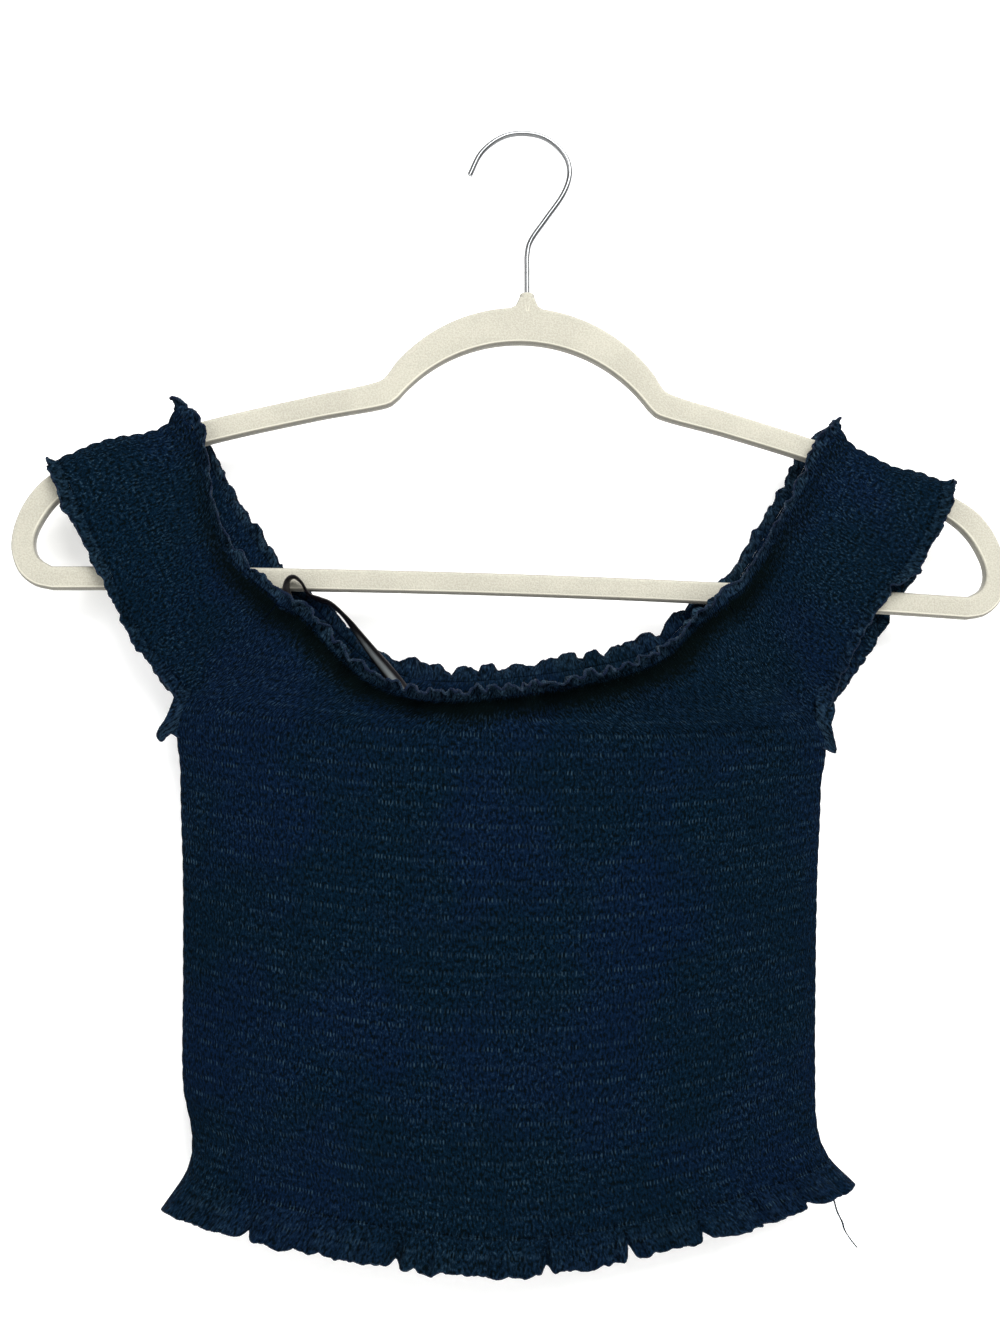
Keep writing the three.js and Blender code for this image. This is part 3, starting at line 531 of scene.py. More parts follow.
class Route:
    """A smooth curve through points, followed by the share of its length."""

    def __init__(self, points, samples=240):
        points = np.asarray(points, float)
        keys = np.concatenate([[0], np.cumsum(np.linalg.norm(np.diff(points, axis=0), axis=1) ** 0.5)])
        places = np.linspace(0, keys[-1], samples)
        self.points = stacked(*(smooth(keys, points[:, k], places) for k in range(3)))
        steps = np.linalg.norm(np.diff(self.points, axis=0), axis=1)
        self.reach = np.concatenate([[0], np.cumsum(steps)])
        self.length = self.reach[-1]

    def __call__(self, share):
        along = np.clip(share, 0, 1) * self.length
        return stacked(*(np.interp(along, self.reach, self.points[:, k]) for k in range(3)))


def wander(x, y, seed):
    """Smooth noise from -1 to 1, with one cell to each unit of x and y."""
    cells = 97
    lattice = np.random.default_rng(seed).uniform(-1, 1, (cells, cells))
    x, y = np.broadcast_arrays(x, y)
    i, j = np.floor(x).astype(int), np.floor(y).astype(int)
    s, t = x - i, y - j
    s, t = s * s * (3 - 2 * s), t * t * (3 - 2 * t)
    corner = lambda a, b: lattice[(i + a) % cells, (j + b) % cells]
    return mix(mix(corner(0, 0), corner(1, 0), s), mix(corner(0, 1), corner(1, 1), s), t)


def panel_surface(sections, facing):
    """The middle of a body panel: across runs from -1 to 1, row counts the elastic rows."""
    def surface(across, row):
        value = lambda name: smooth(sections["row"], sections[name], row)
        across = np.clip(across, -1, 1)
        share = (across + 1) / 2
        x = mix(value("left_x"), value("right_x"), share)
        chord = mix(value("left_z"), value("right_z"), share)
        sag = value("middle") - (value("left_z") + value("right_z")) / 2
        arc = 1 - np.abs(across) ** value("bow")
        neck = smooth(NECK_SHAPE["across"], NECK_SHAPE["drop"], across)
        shape = mix(arc, neck, value("neck"))
        swell = np.sqrt(np.maximum(0, 1 - across ** 4))
        depth = mix(value("edge"), value("depth"), swell)
        return stacked(x, facing * depth, chord + sag * shape)
    return surface


def tipped(x, z):
    """A point of the square-drawn hanger, tipped about the foot of its hook."""
    cos, sin = math.cos(-HANGER["tip"]), math.sin(-HANGER["tip"])
    z = z - HANGER["neck_top"]
    return x * cos - z * sin + HANGER["neck_x"], x * sin + z * cos + HANGER["neck_top"]


def arm_top_at(x):
    """The height of the hanger's arm under a sleeve."""
    side = np.sign(x[0])
    edge = np.array([tipped(side * px, pz) for px, pz in ARM_TOP + END_OUTSIDE[:2]])
    order = np.argsort(edge[:, 0])
    return np.interp(x, edge[order, 0], edge[order, 1])


def sleeve_surface(shape, side, front, back):
    """A sleeve's middle surface. Place is -1 at the front armhole, 0 at the fold and 1 at the back."""
    fold_x, lift = shape["fold"]["x"], shape["fold"]["lift"]
    fold = Route(stacked(fold_x, 0, arm_top_at(fold_x) + SLEEVE["arm_gap"] + lift))
    rows = np.linspace(ROWS["neck_edge"], ROWS["underarm"], 13)
    layers = {}
    for facing, name, panel in ((-1, "front", front), (1, "back", back)):
        seam = Route(panel(side, rows) + SLEEVE["seam_gap"] * np.array([side, 0, 1]), 60)
        edges = []
        for edge, t in (("neck", 0), ("cuff", 1)):
            places = shape[name + "_" + edge]
            foot = seam(t) * (1, 0, 1)
            edges.append(Route(np.vstack([fold(t), stacked(places["x"], 0, places["z"]), foot])))
        layers[facing] = (seam, *edges)

    def layer_at(facing, away, t):
        seam, neck, cuff = layers[facing]
        flat = np.array([1, 0, 1])
        top, foot = fold(t), seam(t)
        stand_off = np.abs(foot[..., 1])
        turn = np.minimum(1, away / SLEEVE["fold_share"]) * HALF_TURN / 2
        round_share = SLEEVE["fold_radius"] / np.linalg.norm(top - foot, axis=-1)
        below = np.clip((away - SLEEVE["fold_share"]) / (1 - SLEEVE["fold_share"]), 0, 1)
        s = round_share * (1 - np.cos(turn)) + (1 - round_share) * below
        s, t = np.broadcast_arrays(s, t)
        share, down = s[..., None], t[..., None]
        across = mix(top, foot, share) * flat
        edges = mix(neck(s), cuff(s), down)
        corners = mix(mix(fold(0), seam(0), share), mix(fold(1), seam(1), share), down) * flat
        at = across + edges - corners
        hang = SLEEVE["fold_radius"] * np.sin(turn) + SLEEVE["belly"] * np.sin(HALF_TURN * below)
        at[..., 1] = facing * mix(hang, stand_off, ease(SLEEVE["spread_from"], 1, below))
        return at

    def surface(place, row):
        place, row = np.broadcast_arrays(np.clip(place, -1, 1), row)
        last, edge = SLEEVE["rows"] - 1, SLEEVE["edge_share"]
        t = np.interp(row, [-1, 0, last, last + 1], [0, edge, 1 - edge, 1])
        away = np.abs(place)
        return np.where(place[..., None] < 0, layer_at(-1, away, t), layer_at(1, away, t))

    return surface


# A piece of shirred cloth

# Columns of points to a small gather, gathers to a group (so that the plain inner face's wider columns end
# where the fine ones do) and fine columns to one of the inner face.
COLUMNS_A_PUCKER, PUCKERS_A_GROUP, INNER_STEP = 4, 8, 8
LINES_A_ROW, LINES_IN_A_CORNER_ROW = 3, 12

# How far the outer and the inner face lie from the middle surface, how deep both sink in under the neck's
# frill, and how much the columns crowd towards the ends.
FACES = {"outer": 0.45, "inner": 0.25, "sink": 1.1, "crowding": 0.25}


class Cloth:
    """One cut piece: its middle surface, its elastic rows and how its gathers run."""

    def __init__(self, node, surface, outward, last_row, seed):
        self.node, self.surface, self.outward = node, surface, outward
        self.last_row, self.seed = last_row, seed
        middle = surface(np.linspace(-1, 1, 400), last_row / 2)
        self.length = np.linalg.norm(np.diff(middle, axis=0), axis=1).sum()
        pitch = settings().cloth.pucker_pitch / MM
        puckers = PUCKERS_A_GROUP * round(self.length / pitch / PUCKERS_A_GROUP)
        self.columns = COLUMNS_A_PUCKER * puckers

    def places(self):
        """The share across of every column, crowded a little towards the ends."""
        even = np.linspace(-1, 1, self.columns + 1)
        return mix(even, np.sin(even * HALF_TURN / 2), FACES["crowding"])

    def normal(self, across, row):
        step = 1e-3
        inner = np.clip(across, -1 + 2 * step, 1 - 2 * step)
        row = np.clip(row, -1 + 3 * step, self.last_row + 1 - 3 * step)
        along = self.surface(inner + step, row) - self.surface(inner - step, row)
        down = self.surface(inner, row + 2 * step) - self.surface(inner, row - 2 * step)
        normal = np.cross(along, down)
        normal /= np.linalg.norm(normal, axis=-1, keepdims=True)
        facing = np.sum(normal * self.outward(inner), axis=-1, keepdims=True)
        return normal * np.where(facing < 0, -1, 1)

    def creases(self, across, row):
        """The height of the listed soft creases."""
        half, pitch = self.length / 2, ROW_PITCH
        total = 0
        marks = CREASES[self.node]
        for k in range(len(marks["row"])):
            a = np.array([marks["across"][k] * half, marks["row"][k] * pitch])
            b = np.array([marks["end_across"][k] * half, marks["end_row"][k] * pitch])
            run = b - a
            x, y = across * half - a[0], row * pitch - a[1]
            share = np.clip((x * run[0] + y * run[1]) / (run @ run), 0, 1)
            off = np.hypot(x - share * run[0], y - share * run[1]) / marks["width"][k]
            total = total + marks["height"][k] * np.exp(-off ** 2) * (0.35 + 0.65 * np.sin(HALF_TURN * share))
        return total

    def gathers(self, row, column):
        """The small gathers: their height, and how far a column wanders to one side."""
        pucker = column / COLUMNS_A_PUCKER
        from_row = np.abs(row - np.round(row))
        tight = 1 - ease(0.05, 0.42, from_row)
        height = settings().cloth.pucker_height / MM * mix(0.42, 1.0, tight)
        uneven = 0.72 + 0.45 * wander(pucker / 1.3, row * 1.7, self.seed)
        merge = 0.16 * wander(pucker / 3.1, row * 0.9, self.seed + 1)
        crest = np.cos(2 * HALF_TURN * pucker)
        side = 0.42 * wander(pucker / 4.5, row * 0.8, self.seed + 2)
        side = side + 0.26 * wander(pucker / 1.7, row * 1.9, self.seed + 3)
        return height * uneven * crest + merge, side

    def down(self, across, row):
        """Millimetres down the cloth from the first row, at the even pitch of the rows below the armholes."""
        even = row * ROW_PITCH
        if self.last_row < ROWS["last"]:
            return even
        rows = np.linspace(ROWS["neck_edge"], ROWS["underarm"] + 1, 25)[:, None]
        line = self.surface(across, rows)
        steps = np.linalg.norm(np.diff(line, axis=0), axis=-1)
        above = np.vstack([np.cumsum(steps[::-1], axis=0)[::-1], np.zeros((1, steps.shape[1]))])
        real = rows[-1] * ROW_PITCH - above
        corner = np.empty(np.broadcast_shapes(across.shape, row.shape))
        for k in range(corner.shape[1]):
            corner[:, k] = np.interp(row[:, 0], rows[:, 0], real[:, k])
        return np.where(row > ROWS["underarm"] + 1, even, corner)

    def sink_and_shadow(self, across, row):
        """How much the cloth sinks in under the neck's frill, from 0 to 1; the material paints shadow there
        by the same share.
        """
        if self.last_row < ROWS["last"]:
            below, share = row * 6.6, 0.3 + 0.7 * ease(0.35, 0.97, np.abs(across))
        else:
            below, share = self.down(across, row) - self.down(across, 0 * row), 1.0
        wave = 1.5 * wander(across * self.length / 24, 2.5, self.seed + 9)
        return share * ease(-0.5, 1.5, below) * (1 - ease(4.0 + wave, 15.5 + 1.5 * wave, below))

    def sideways(self, across, row):
        far = 1e-3
        right, left = np.clip(across + far, -1, 1), np.clip(across - far, -1, 1)
        along = self.surface(right, row) - self.surface(left, row)
        return along / np.linalg.norm(along, axis=-1, keepdims=True)

    def lines(self):
        """The rows of points of the shirred part, closer in the two that widen at the neckline's corners."""
        corner = ROWS["underarm"] if self.last_row == ROWS["last"] else 0
        fine = np.arange(0, corner, 1 / LINES_IN_A_CORNER_ROW)
        even = np.linspace(corner, self.last_row, (self.last_row - corner) * LINES_A_ROW + 1)
        return np.concatenate([fine, even])


# Meshes

def grid_quads(rows, columns, start=0):
    index = start + np.arange(rows * columns).reshape(rows, columns)
    corners = (index[:-1, :-1], index[:-1, 1:], index[1:, 1:], index[1:, :-1])
    return np.stack(corners, -1).reshape(-1, 4), index


def rim_faces(fine, coarse):
    """Triangles from one side of a fine grid to the same side of a coarser one."""
    step = (len(fine) - 1) // (len(coarse) - 1)
    owner = coarse[np.arange(len(fine) - 1) // step]
    fans = np.stack([fine[1:], fine[:-1], owner], -1)
    joins = np.stack([fine[step::step], coarse[:-1], coarse[1:]], -1)
    return np.vstack([fans, joins])


def around(index):
    """The four sides of a grid, once round."""
    return index[0], index[:, -1], index[-1, ::-1], index[::-1, 0]


def shell(outer, inner):
    """Points and faces of a closed thin shell between an outer grid and an inner grid that may be coarser."""
    outer_quads, outer_index = grid_quads(*outer.shape[:2])
    inner_quads, inner_index = grid_quads(*inner.shape[:2], start=outer_index.size)
    points = np.vstack([outer.reshape(-1, 3), inner.reshape(-1, 3)])
    rims = np.vstack([rim_faces(f, c) for f, c in zip(around(outer_index), around(inner_index))])
    quads = np.vstack([outer_quads, inner_quads[:, ::-1]])
    return points, quads, rims


def volume(points, triangles):
    a, b, c = (points[triangles[:, k]] for k in range(3))
    return np.einsum("ij,ij->", a, np.cross(b, c)) / 6


def add_mesh(name, points, quads, triangles, gather, material, nodes):
    """A finished piece from its points in millimetres, riding on the part and standing for its solids."""
    halves = np.vstack([quads[:, [0, 1, 2]], quads[:, [0, 2, 3]], triangles.reshape(-1, 3)])
    if volume(points, halves) < 0:
        quads, triangles = quads[:, ::-1], triangles.reshape(-1, 3)[:, ::-1]
    mesh = bpy.data.meshes.new(name)
    mesh.from_pydata((points * MM).tolist(), [], [*quads.tolist(), *triangles.tolist()])
    attribute = mesh.attributes.new("gather", "FLOAT_VECTOR", "POINT")
    attribute.data.foreach_set("vector", gather.astype(np.float32).ravel())
    mesh.shade_smooth()
    mesh.materials.append(material)
    piece = bpy.data.objects.new(name, mesh)
    bpy.context.collection.objects.link(piece)
    return finished(piece, nodes)


def finished(piece, nodes):
    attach(piece, "root")
    if nodes:
        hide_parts(*nodes)
    return piece


def deselect():
    bpy.ops.object.select_all(action="DESELECT")


# Finishes

def cloth_material():
    """Crinkled navy crepe: painted highlights on the gathers' crests along each elastic row, finer crinkle
    between, with painted shade in its hollows and painted highlights on its tops.

    Its gather attribute holds the place along a row, the place down the cloth, and how free the cloth is:
    from 0 to 1 towards a frill's edge, where it sets a painted highlight, and below 0 where it sinks in under
    the neck's frill, where it sets a painted shadow.
    """
    look = settings().cloth
    shader = Shader("navy_crepe")
    split = shader.gather()
    across, down = split["X"], split["Y"]
    # Above 0 the third part sets a painted highlight on a frill's free cloth; below 0 it sets the painted
    # shadow under the neck's frill.
    reach, sink_and_shadow = split["Z"].apply("MAXIMUM", 0.0), (0 - split["Z"]).apply("MAXIMUM", 0.0)
    row = down / ROW_PITCH
    off_row = (row - row.apply("ROUND")).apply("ABSOLUTE")
    on_row = off_row.step(0.16, 0.05) * (1 - reach)
    crest = (across * (2 * HALF_TURN / (look.pucker_pitch / MM))).apply("COSINE").step(0.0, 0.9)
    # Patches where the painted highlights are stronger.
    worn = shader.noise(shader.vector(across / 11, down / 22), 1.0, 2.0).step(0.36, 0.66)
    single = shader.noise(shader.vector(across / 1.4, down / 5), 1.0, 0.0).step(0.35, 0.7)
    bend = shader.noise(shader.vector(across / 5, down / 5), 1.0, 1.0) * 1.6
    crinkle = shader.noise(shader.vector(across / 0.95 + bend, down / 2.1), 1.0, 3.0, 0.7)
    speck = shader.noise(shader.vector(across / 0.5, down / 0.9), 1.0, 1.0, 0.5)
    place = shader.node("TexCoord")["Object"]
    patch = shader.noise(place, 13.0, 3.0, 0.6).step(0.4, 0.62)
    bright = shader.noise(place, 34.0, 2.0, 0.6).step(0.3, 0.75)
    ground = shader.mix(patch, rgba(look.deep), rgba(look.navy))
    # Painted shade: the crinkle's hollows, and the cloth under the neck's frill, are darkened towards a
    # near-black colour.
    hollow_shade = crinkle.step(0.54, 0.41)
    dark = (hollow_shade * 0.86 + sink_and_shadow * 0.95).apply("MINIMUM", 0.97)
    shaded = shader.mix(dark, ground, (0.0001, 0.0012, 0.0010, 1.0))
    # Near the top, the painted highlights on the crinkle are stronger and those on the crests weaker.
    high = shader.node("SeparateXYZ", None, place)["Z"].step(-0.29, -0.245)
    # Painted highlights on the crinkle's tops, stronger in brighter patches.
    crinkle_highlights = crinkle.step(0.52, 0.68) * speck.step(0.35, 0.65)
    crinkle_highlights = crinkle_highlights * (0.24 + 0.46 * bright) * (1 + 0.6 * high)
    # Painted highlights on the gathers' crests along each elastic row.
    crest_highlights = on_row * crest * single * (0.2 + 0.6 * worn) * (1 - 0.65 * high)
    # All the painted highlights, dimmed by the painted shadow under the neck's frill, and a painted highlight
    # on the crumples of a frill's free cloth.
    light = (crest_highlights + crinkle_highlights) * (1 - sink_and_shadow * 0.95) + reach * crinkle.step(0.38, 0.6) * (0.25 + 0.6 * worn)
    colour = shader.mix(light.apply("MINIMUM", 1.0), shaded, rgba(look.crest))
    height = crinkle * 0.8 + speck * 0.15 + crest * on_row * 0.25
    return shader.finish(
        Base_Color=colour,
        Roughness=0.9 - 0.1 * light,
        Specular_IOR_Level=0.03,
        Normal=shader.bump(height, 0.45 * MM, 1.0),
    )


def thread_material():
    """The overlocked edge: slanted loops of thread round a rolled edge."""
    look = settings().cloth
    shader = Shader("overlock_thread")
    split = shader.gather()
    stitch = ((split["X"] / 1.15 + split["Y"]) * (2 * HALF_TURN)).apply("SINE").step(-0.5, 0.9)
    uneven = shader.noise(shader.vector(split["X"] / 7.0, 0.0), 1.0, 3.0).step(0.42, 0.62)
    colour = shader.mix((0.15 + 0.6 * stitch) * uneven, rgba(look.navy), rgba(look.thread))
    return shader.finish(
        Base_Color=colour,
        Roughness=0.75,
        Specular_IOR_Level=0.12,
        Normal=shader.bump(stitch, 0.2 * MM, 0.8),
    )


def satin_material():
    look = settings().cloth
    shader = Shader("satin_ribbon")
    split = shader.gather()
    weave = (split["X"] * (2 * HALF_TURN / 0.22)).apply("SINE") * 0.5 + 0.5
    selvedge = split["Y"].apply("ABSOLUTE").step(0.86, 0.97)
    streak = shader.noise(shader.vector(split["X"] / 2.4, split["Y"] * 5), 1.0, 2.0)
    dark = shader.mix(streak * 0.5, rgba(look.satin), rgba([3 * c for c in look.satin]))
    # Painted highlight: a silvery streak near the ribbon's lower end stands in for the satin's shine.
    middle = split["Y"] + 0.1
    painted_satin_highlight = split["X"].step(58.0, 70.0) * middle.step(-0.5, 0.1) * middle.step(0.9, 0.3)
    colour = shader.mix(painted_satin_highlight * (0.6 + 0.4 * streak), dark, (0.30, 0.33, 0.34, 1.0))
    return shader.finish(
        Base_Color=colour,
        Roughness=0.24 + 0.16 * streak + 0.2 * selvedge,
        Specular_IOR_Level=0.4,
        Normal=shader.bump(weave * 0.5 + selvedge, 0.05 * MM, 0.5),
    )


def flock_material():
    look = settings().hanger
    shader = Shader("velvet_flock")
    place = shader.node("TexCoord")["Object"]
    fibre = shader.noise(place, 2600.0, 2.0, 0.7)
    speck = shader.noise(place, 1300.0, 2.0, 0.6).step(0.35, 0.65)
    rub = shader.noise(place, 28.0, 3.0, 0.6).step(0.35, 0.7)
    pale = rgba([1.08 * c for c in look.flock])
    dull = rgba([0.76 * c for c in look.flock])
    face = shader.mix(0.15 + 0.3 * rub + 0.55 * speck, dull, pale)
    facing = shader.node("SeparateXYZ", None, shader.node("NewGeometry")["Normal"])
    flat = facing["Y"].apply("ABSOLUTE")
    # Painted highlight: a bright line along the lower front edges.
    rim = flat.step(0.8, 0.9) * flat.step(0.995, 0.97) * facing["Z"].step(0.0, -0.2)
    # Painted shade: faces that turn downwards are darker.
    under = facing["Z"].step(-0.25, -0.62)
    # Painted shade: the edge faces seen side-on are darker, except those that turn downwards.
    outer = (1 - flat).step(0.15, 0.6) * (1 - under)
    rim_highlighted = shader.mix(rim * 0.8, face, rgba([1.5 * c for c in look.flock]))
    sides = shader.mix(outer * 0.7, rim_highlighted, rgba([0.34 * c for c in look.flock]))
    colour = shader.mix(under * 0.76, sides, rgba([0.3 * c for c in look.flock]))
    return shader.finish(
        Base_Color=colour,
        Roughness=0.95,
        Specular_IOR_Level=0.15,
        Sheen_Weight=0.25,
        Sheen_Roughness=0.6,
        Normal=shader.bump(fibre * 0.6 + speck * 0.4, 0.25 * MM, 0.6),
    )


def chrome_material():
    shader = Shader("chrome_wire")
    place = shader.node("TexCoord")["Object"]
    smear = shader.noise(place, 120.0, 3.0, 0.6)
    return shader.finish(
        Base_Color=(0.2, 0.205, 0.21, 1.0),
        Metallic=1.0,
        Roughness=0.12 + 0.14 * smear,
        Normal=shader.bump(smear, 0.02 * MM, 0.3),
    )


def floor_material():
    return Shader("pale_floor").finish(
        Base_Color=(0.75, 0.75, 0.74, 1.0), Roughness=0.9, Specular_IOR_Level=0.1)


def wall_material():
    """White from the front. From behind it is clear to the eye and to light, so the top's back is lit."""
    shader = Shader("pale_wall")
    passing = shader.node("LightPath")["Is Shadow Ray"]
    back = shader.node("NewGeometry")["Backfacing"].apply("MAXIMUM", passing)
    white = shader.node("BsdfPrincipled", None, Base_Color=(0.9, 0.9, 0.9, 1.0), Roughness=1.0,
                        Emission_Color=(1.0, 1.0, 1.0, 1.0), Emission_Strength=0.25)
    clear = shader.node("BsdfTransparent")
    return shader.surfaced(shader.node("MixShader", None, back, white, clear))


# The garment's pieces

def shirred(cloth, material):
    """The shirred part of a piece: a fine outer face with its puffs and gathers, and a plain inner face."""
    size = settings().cloth
    rows = cloth.lines()[:, None]
    across = cloth.places()[None, :]
    column = np.arange(cloth.columns + 1)[None, :]
    from_row = np.abs(rows - np.round(rows))
    held = np.clip((1 - np.abs(across)) * cloth.length / 2 / 1.2, 0, 1)
    inward = 0.3 + 0.7 * ease(0, 1, (1 - np.abs(across)) * cloth.length / 2 / 8)
    puff = size.puff / MM * inward * np.sin(HALF_TURN * from_row) ** 0.75
    puff = puff * (1 + 0.3 * wander(across * cloth.length / 22, np.floor(rows) * 0.9, cloth.seed + 4))
    height, side = cloth.gathers(rows, column)
    normal = cloth.normal(across, rows)
    sink_and_shadow = cloth.sink_and_shadow(across, rows)
    lift = FACES["outer"] + puff + (height + cloth.creases(across, rows)) * held
    lift = lift - FACES["sink"] * sink_and_shadow
    outer = cloth.surface(across, rows) + normal * lift[..., None]
    outer = outer + cloth.sideways(across, rows) * (side * held)[..., None]
    down = 0.35 * wander(across * cloth.length / 9, rows * 0.7, cloth.seed + 5)
    outer[..., 2] += down * held
    inner_rows, inner_across = rows[::LINES_A_ROW], across[:, ::INNER_STEP]
    crease = cloth.creases(inner_across, inner_rows) * held[:, ::INNER_STEP]
    crease = crease - FACES["sink"] * cloth.sink_and_shadow(inner_across, inner_rows)
    inner = cloth.surface(inner_across, inner_rows)
    inner = inner + cloth.normal(inner_across, inner_rows) * (crease - FACES["inner"])[..., None]
    points, quads, rims = shell(outer, inner)
    x = (column - cloth.columns / 2) * (size.pucker_pitch / MM / COLUMNS_A_PUCKER)
    # Below 0, the third part sets the material's painted shadow under the neck's frill.
    outside = stacked(x, cloth.down(across, rows), -sink_and_shadow).reshape(-1, 3)
    inside = stacked(inner_across * cloth.length / 2, inner_rows * ROW_PITCH, 0).reshape(-1, 3)
    gather = np.vstack([outside, inside])
    return add_mesh(cloth.node + "_cloth", points, quads, rims, gather, material, [cloth.node])


def lobes(turn):
    """Rounded lobes with a sharp nick between them, from -0.6 to 0.4."""
    return np.abs(np.cos(turn / 2)) ** 0.75 - 0.6


def frill(cloth, name, upper, style, material, thread):
    """The free cloth past the first or the last elastic row, and the overlocked thread along its edge."""
    size = settings().cloth
    start, way = (0, -1) if upper else (cloth.last_row, 1)
    reach = np.linspace(0, 1, style["lines"])[:, None]
    across = cloth.places()[None, :]
    column = np.arange(cloth.columns + 1)[None, :]
    row = start + way * reach
    edge_line = cloth.surface(np.linspace(-1, 1, 300), start + way)
    length = np.linalg.norm(np.diff(edge_line, axis=0), axis=1).sum()
    x = across * length / 2
    held = ease(0, 1, (1 - np.abs(across)) * length / 2 / style["hold"])
    open_out = reach ** 0.7 * held
    seed = cloth.seed + (40 if upper else 10)

    turn = 2 * HALF_TURN * x / style["pitch"] + 2.4 * wander(x / 17, 0.5, seed) + seed
    beat = 0.6 + 0.55 * wander(x / 13, 3.5, seed + 1)
    second = np.sin(2.3 * turn + 2 * wander(x / 9, 5.5, seed + 2) + 1.2 * reach)
    wave = style["depth"] * (np.sin(turn + 0.5 * (1 - reach)) * beat + 0.3 * second)
    ridge = 0.5 - np.abs(wander(x / 3.6 + 0.8 * reach, reach * 1.6, seed + 7)) * 2
    ridge = ridge + 0.9 * wander(x / 5.2, reach * 0.8, seed + 17)
    crumple = wander(x / 2.4, reach * 2.2, seed + 3) + 0.5 * wander(x / 1.15, reach * 3.3, seed + 4)
    small = style["crumple"] * (crumple + ridge)
    lean = style["lean"] * reach ** 1.6 * held
    curl = style["curl"] * ease(0.7, 1, reach) * (0.55 + 0.6 * wander(x / 7, 1.5, seed + 5)) * held
    out = (wave + small) * open_out + lean + curl
    far = style["lobes"] * lobes(turn + 0.9) * (0.45 + 0.7 * beat) * open_out
    far = far + (0.6 * wander(x / 1.9, 7.5, seed + 6) + 0.5 * wander(x / 5, 9.5, seed + 8)) * reach * held
    marks = FOLDS[name]
    for k in range(len(marks["across"])):
        off = (x - marks["across"][k] * length / 2) / marks["width"][k]
        dent = np.exp(-off ** 2)
        out = out - marks["push"][k] * dent * reach
        pushed_out = np.clip(-0.2 * marks["lift"][k], 0, 1)
        far = far * (1 - pushed_out * dent) - marks["lift"][k] * dent * reach ** 1.4
    height, side = cloth.gathers(row, column)
    fade = 1 - 0.7 * reach
    side = side * held - 0.03 * style["pitch"] * np.sin(2 * turn) * beat * open_out
    crease = cloth.creases(across, row) * held

    middle = cloth.surface(across, row) + cloth.sideways(across, row) * side[..., None]
    away = cloth.surface(across, start + way * 1.0) - cloth.surface(across, start + way * 0.4)
    away /= np.linalg.norm(away, axis=-1, keepdims=True)
    middle = middle + away * far[..., None]
    normal = cloth.normal(across, row)
    thick = size.thickness / MM * mix(1.0, 0.75, reach)
    shared = 0.35 * (1 - reach) + out + crease + height * held * fade * 0.5
    outer = middle + normal * (shared + thick / 2 + height * held * fade * 0.5)[..., None]
    inner = middle + normal * (shared - thick / 2 - height * held * fade * 0.3)[..., None]
    points, quads, rims = shell(outer, inner)
    along = (column - cloth.columns / 2) * (size.pucker_pitch / MM / COLUMNS_A_PUCKER)
    fall = np.linalg.norm(cloth.surface(0.0, start + way) - cloth.surface(0.0, start))
    # How strong the painted highlight is, growing towards the frill's edge.
    down, free = start * ROW_PITCH + way * reach * fall, reach ** 0.45 * style["worn"]
    gather = stacked(along, down, free).reshape(-1, 3)
    piece = add_mesh(name + "_frill", points, quads, rims, np.vstack([gather, gather]), material, [])
    edge = (outer[-1] + inner[-1]) / 2
    edging = add_thread(name + "_overlock", edge, thread, radius=style["edge"])
    return piece, edging


def add_thread(name, route, material, radius=None):
    """A slim tube of overlocked thread along an edge, its radius uneven like its loops."""
    radius = radius or settings().cloth.thread_radius / MM
    sides = 6
    step = np.gradient(route, axis=0)
    step /= np.linalg.norm(step, axis=1, keepdims=True)
    along = np.concatenate([[0], np.cumsum(np.linalg.norm(np.diff(route, axis=0), axis=1))])
    up = np.array([0, 0, 1.0])
    side = np.cross(step, up)
    side /= np.linalg.norm(side, axis=1, keepdims=True)
    third = np.cross(side, step)
    uneven = 1 + 0.18 * np.sin(2 * HALF_TURN * along / 1.15) + 0.4 * wander(along / 2.6, 0.5, len(name))
    turns = np.linspace(0, 2 * HALF_TURN, sides, endpoint=False)
    ring = np.cos(turns)[None, :, None] * side[:, None] + np.sin(turns)[None, :, None] * third[:, None]
    tube = route[:, None] + radius * uneven[:, None, None] * ring
    index = np.arange(tube[..., 0].size).reshape(tube.shape[:2])
    index = np.hstack([index, index[:, :1]])
    quads = np.stack([index[:-1, :-1], index[:-1, 1:], index[1:, 1:], index[1:, :-1]], -1).reshape(-1, 4)
    points = np.vstack([tube.reshape(-1, 3), route[:1], route[-1:]])
    count = tube[..., 0].size
    first, last = index[0], index[-1]
    caps = np.vstack([
        np.stack([np.full(sides, count), first[1:], first[:-1]], -1),
        np.stack([np.full(sides, count + 1), last[:-1], last[1:]], -1),
    ])
    around_it = np.broadcast_to(turns / (2 * HALF_TURN), tube.shape[:2])
    gather = stacked(along[:, None], around_it, 0).reshape(-1, 3)
    gather = np.vstack([gather, np.zeros((2, 3))])
    return add_mesh(name, points, quads, caps, gather, material, [])


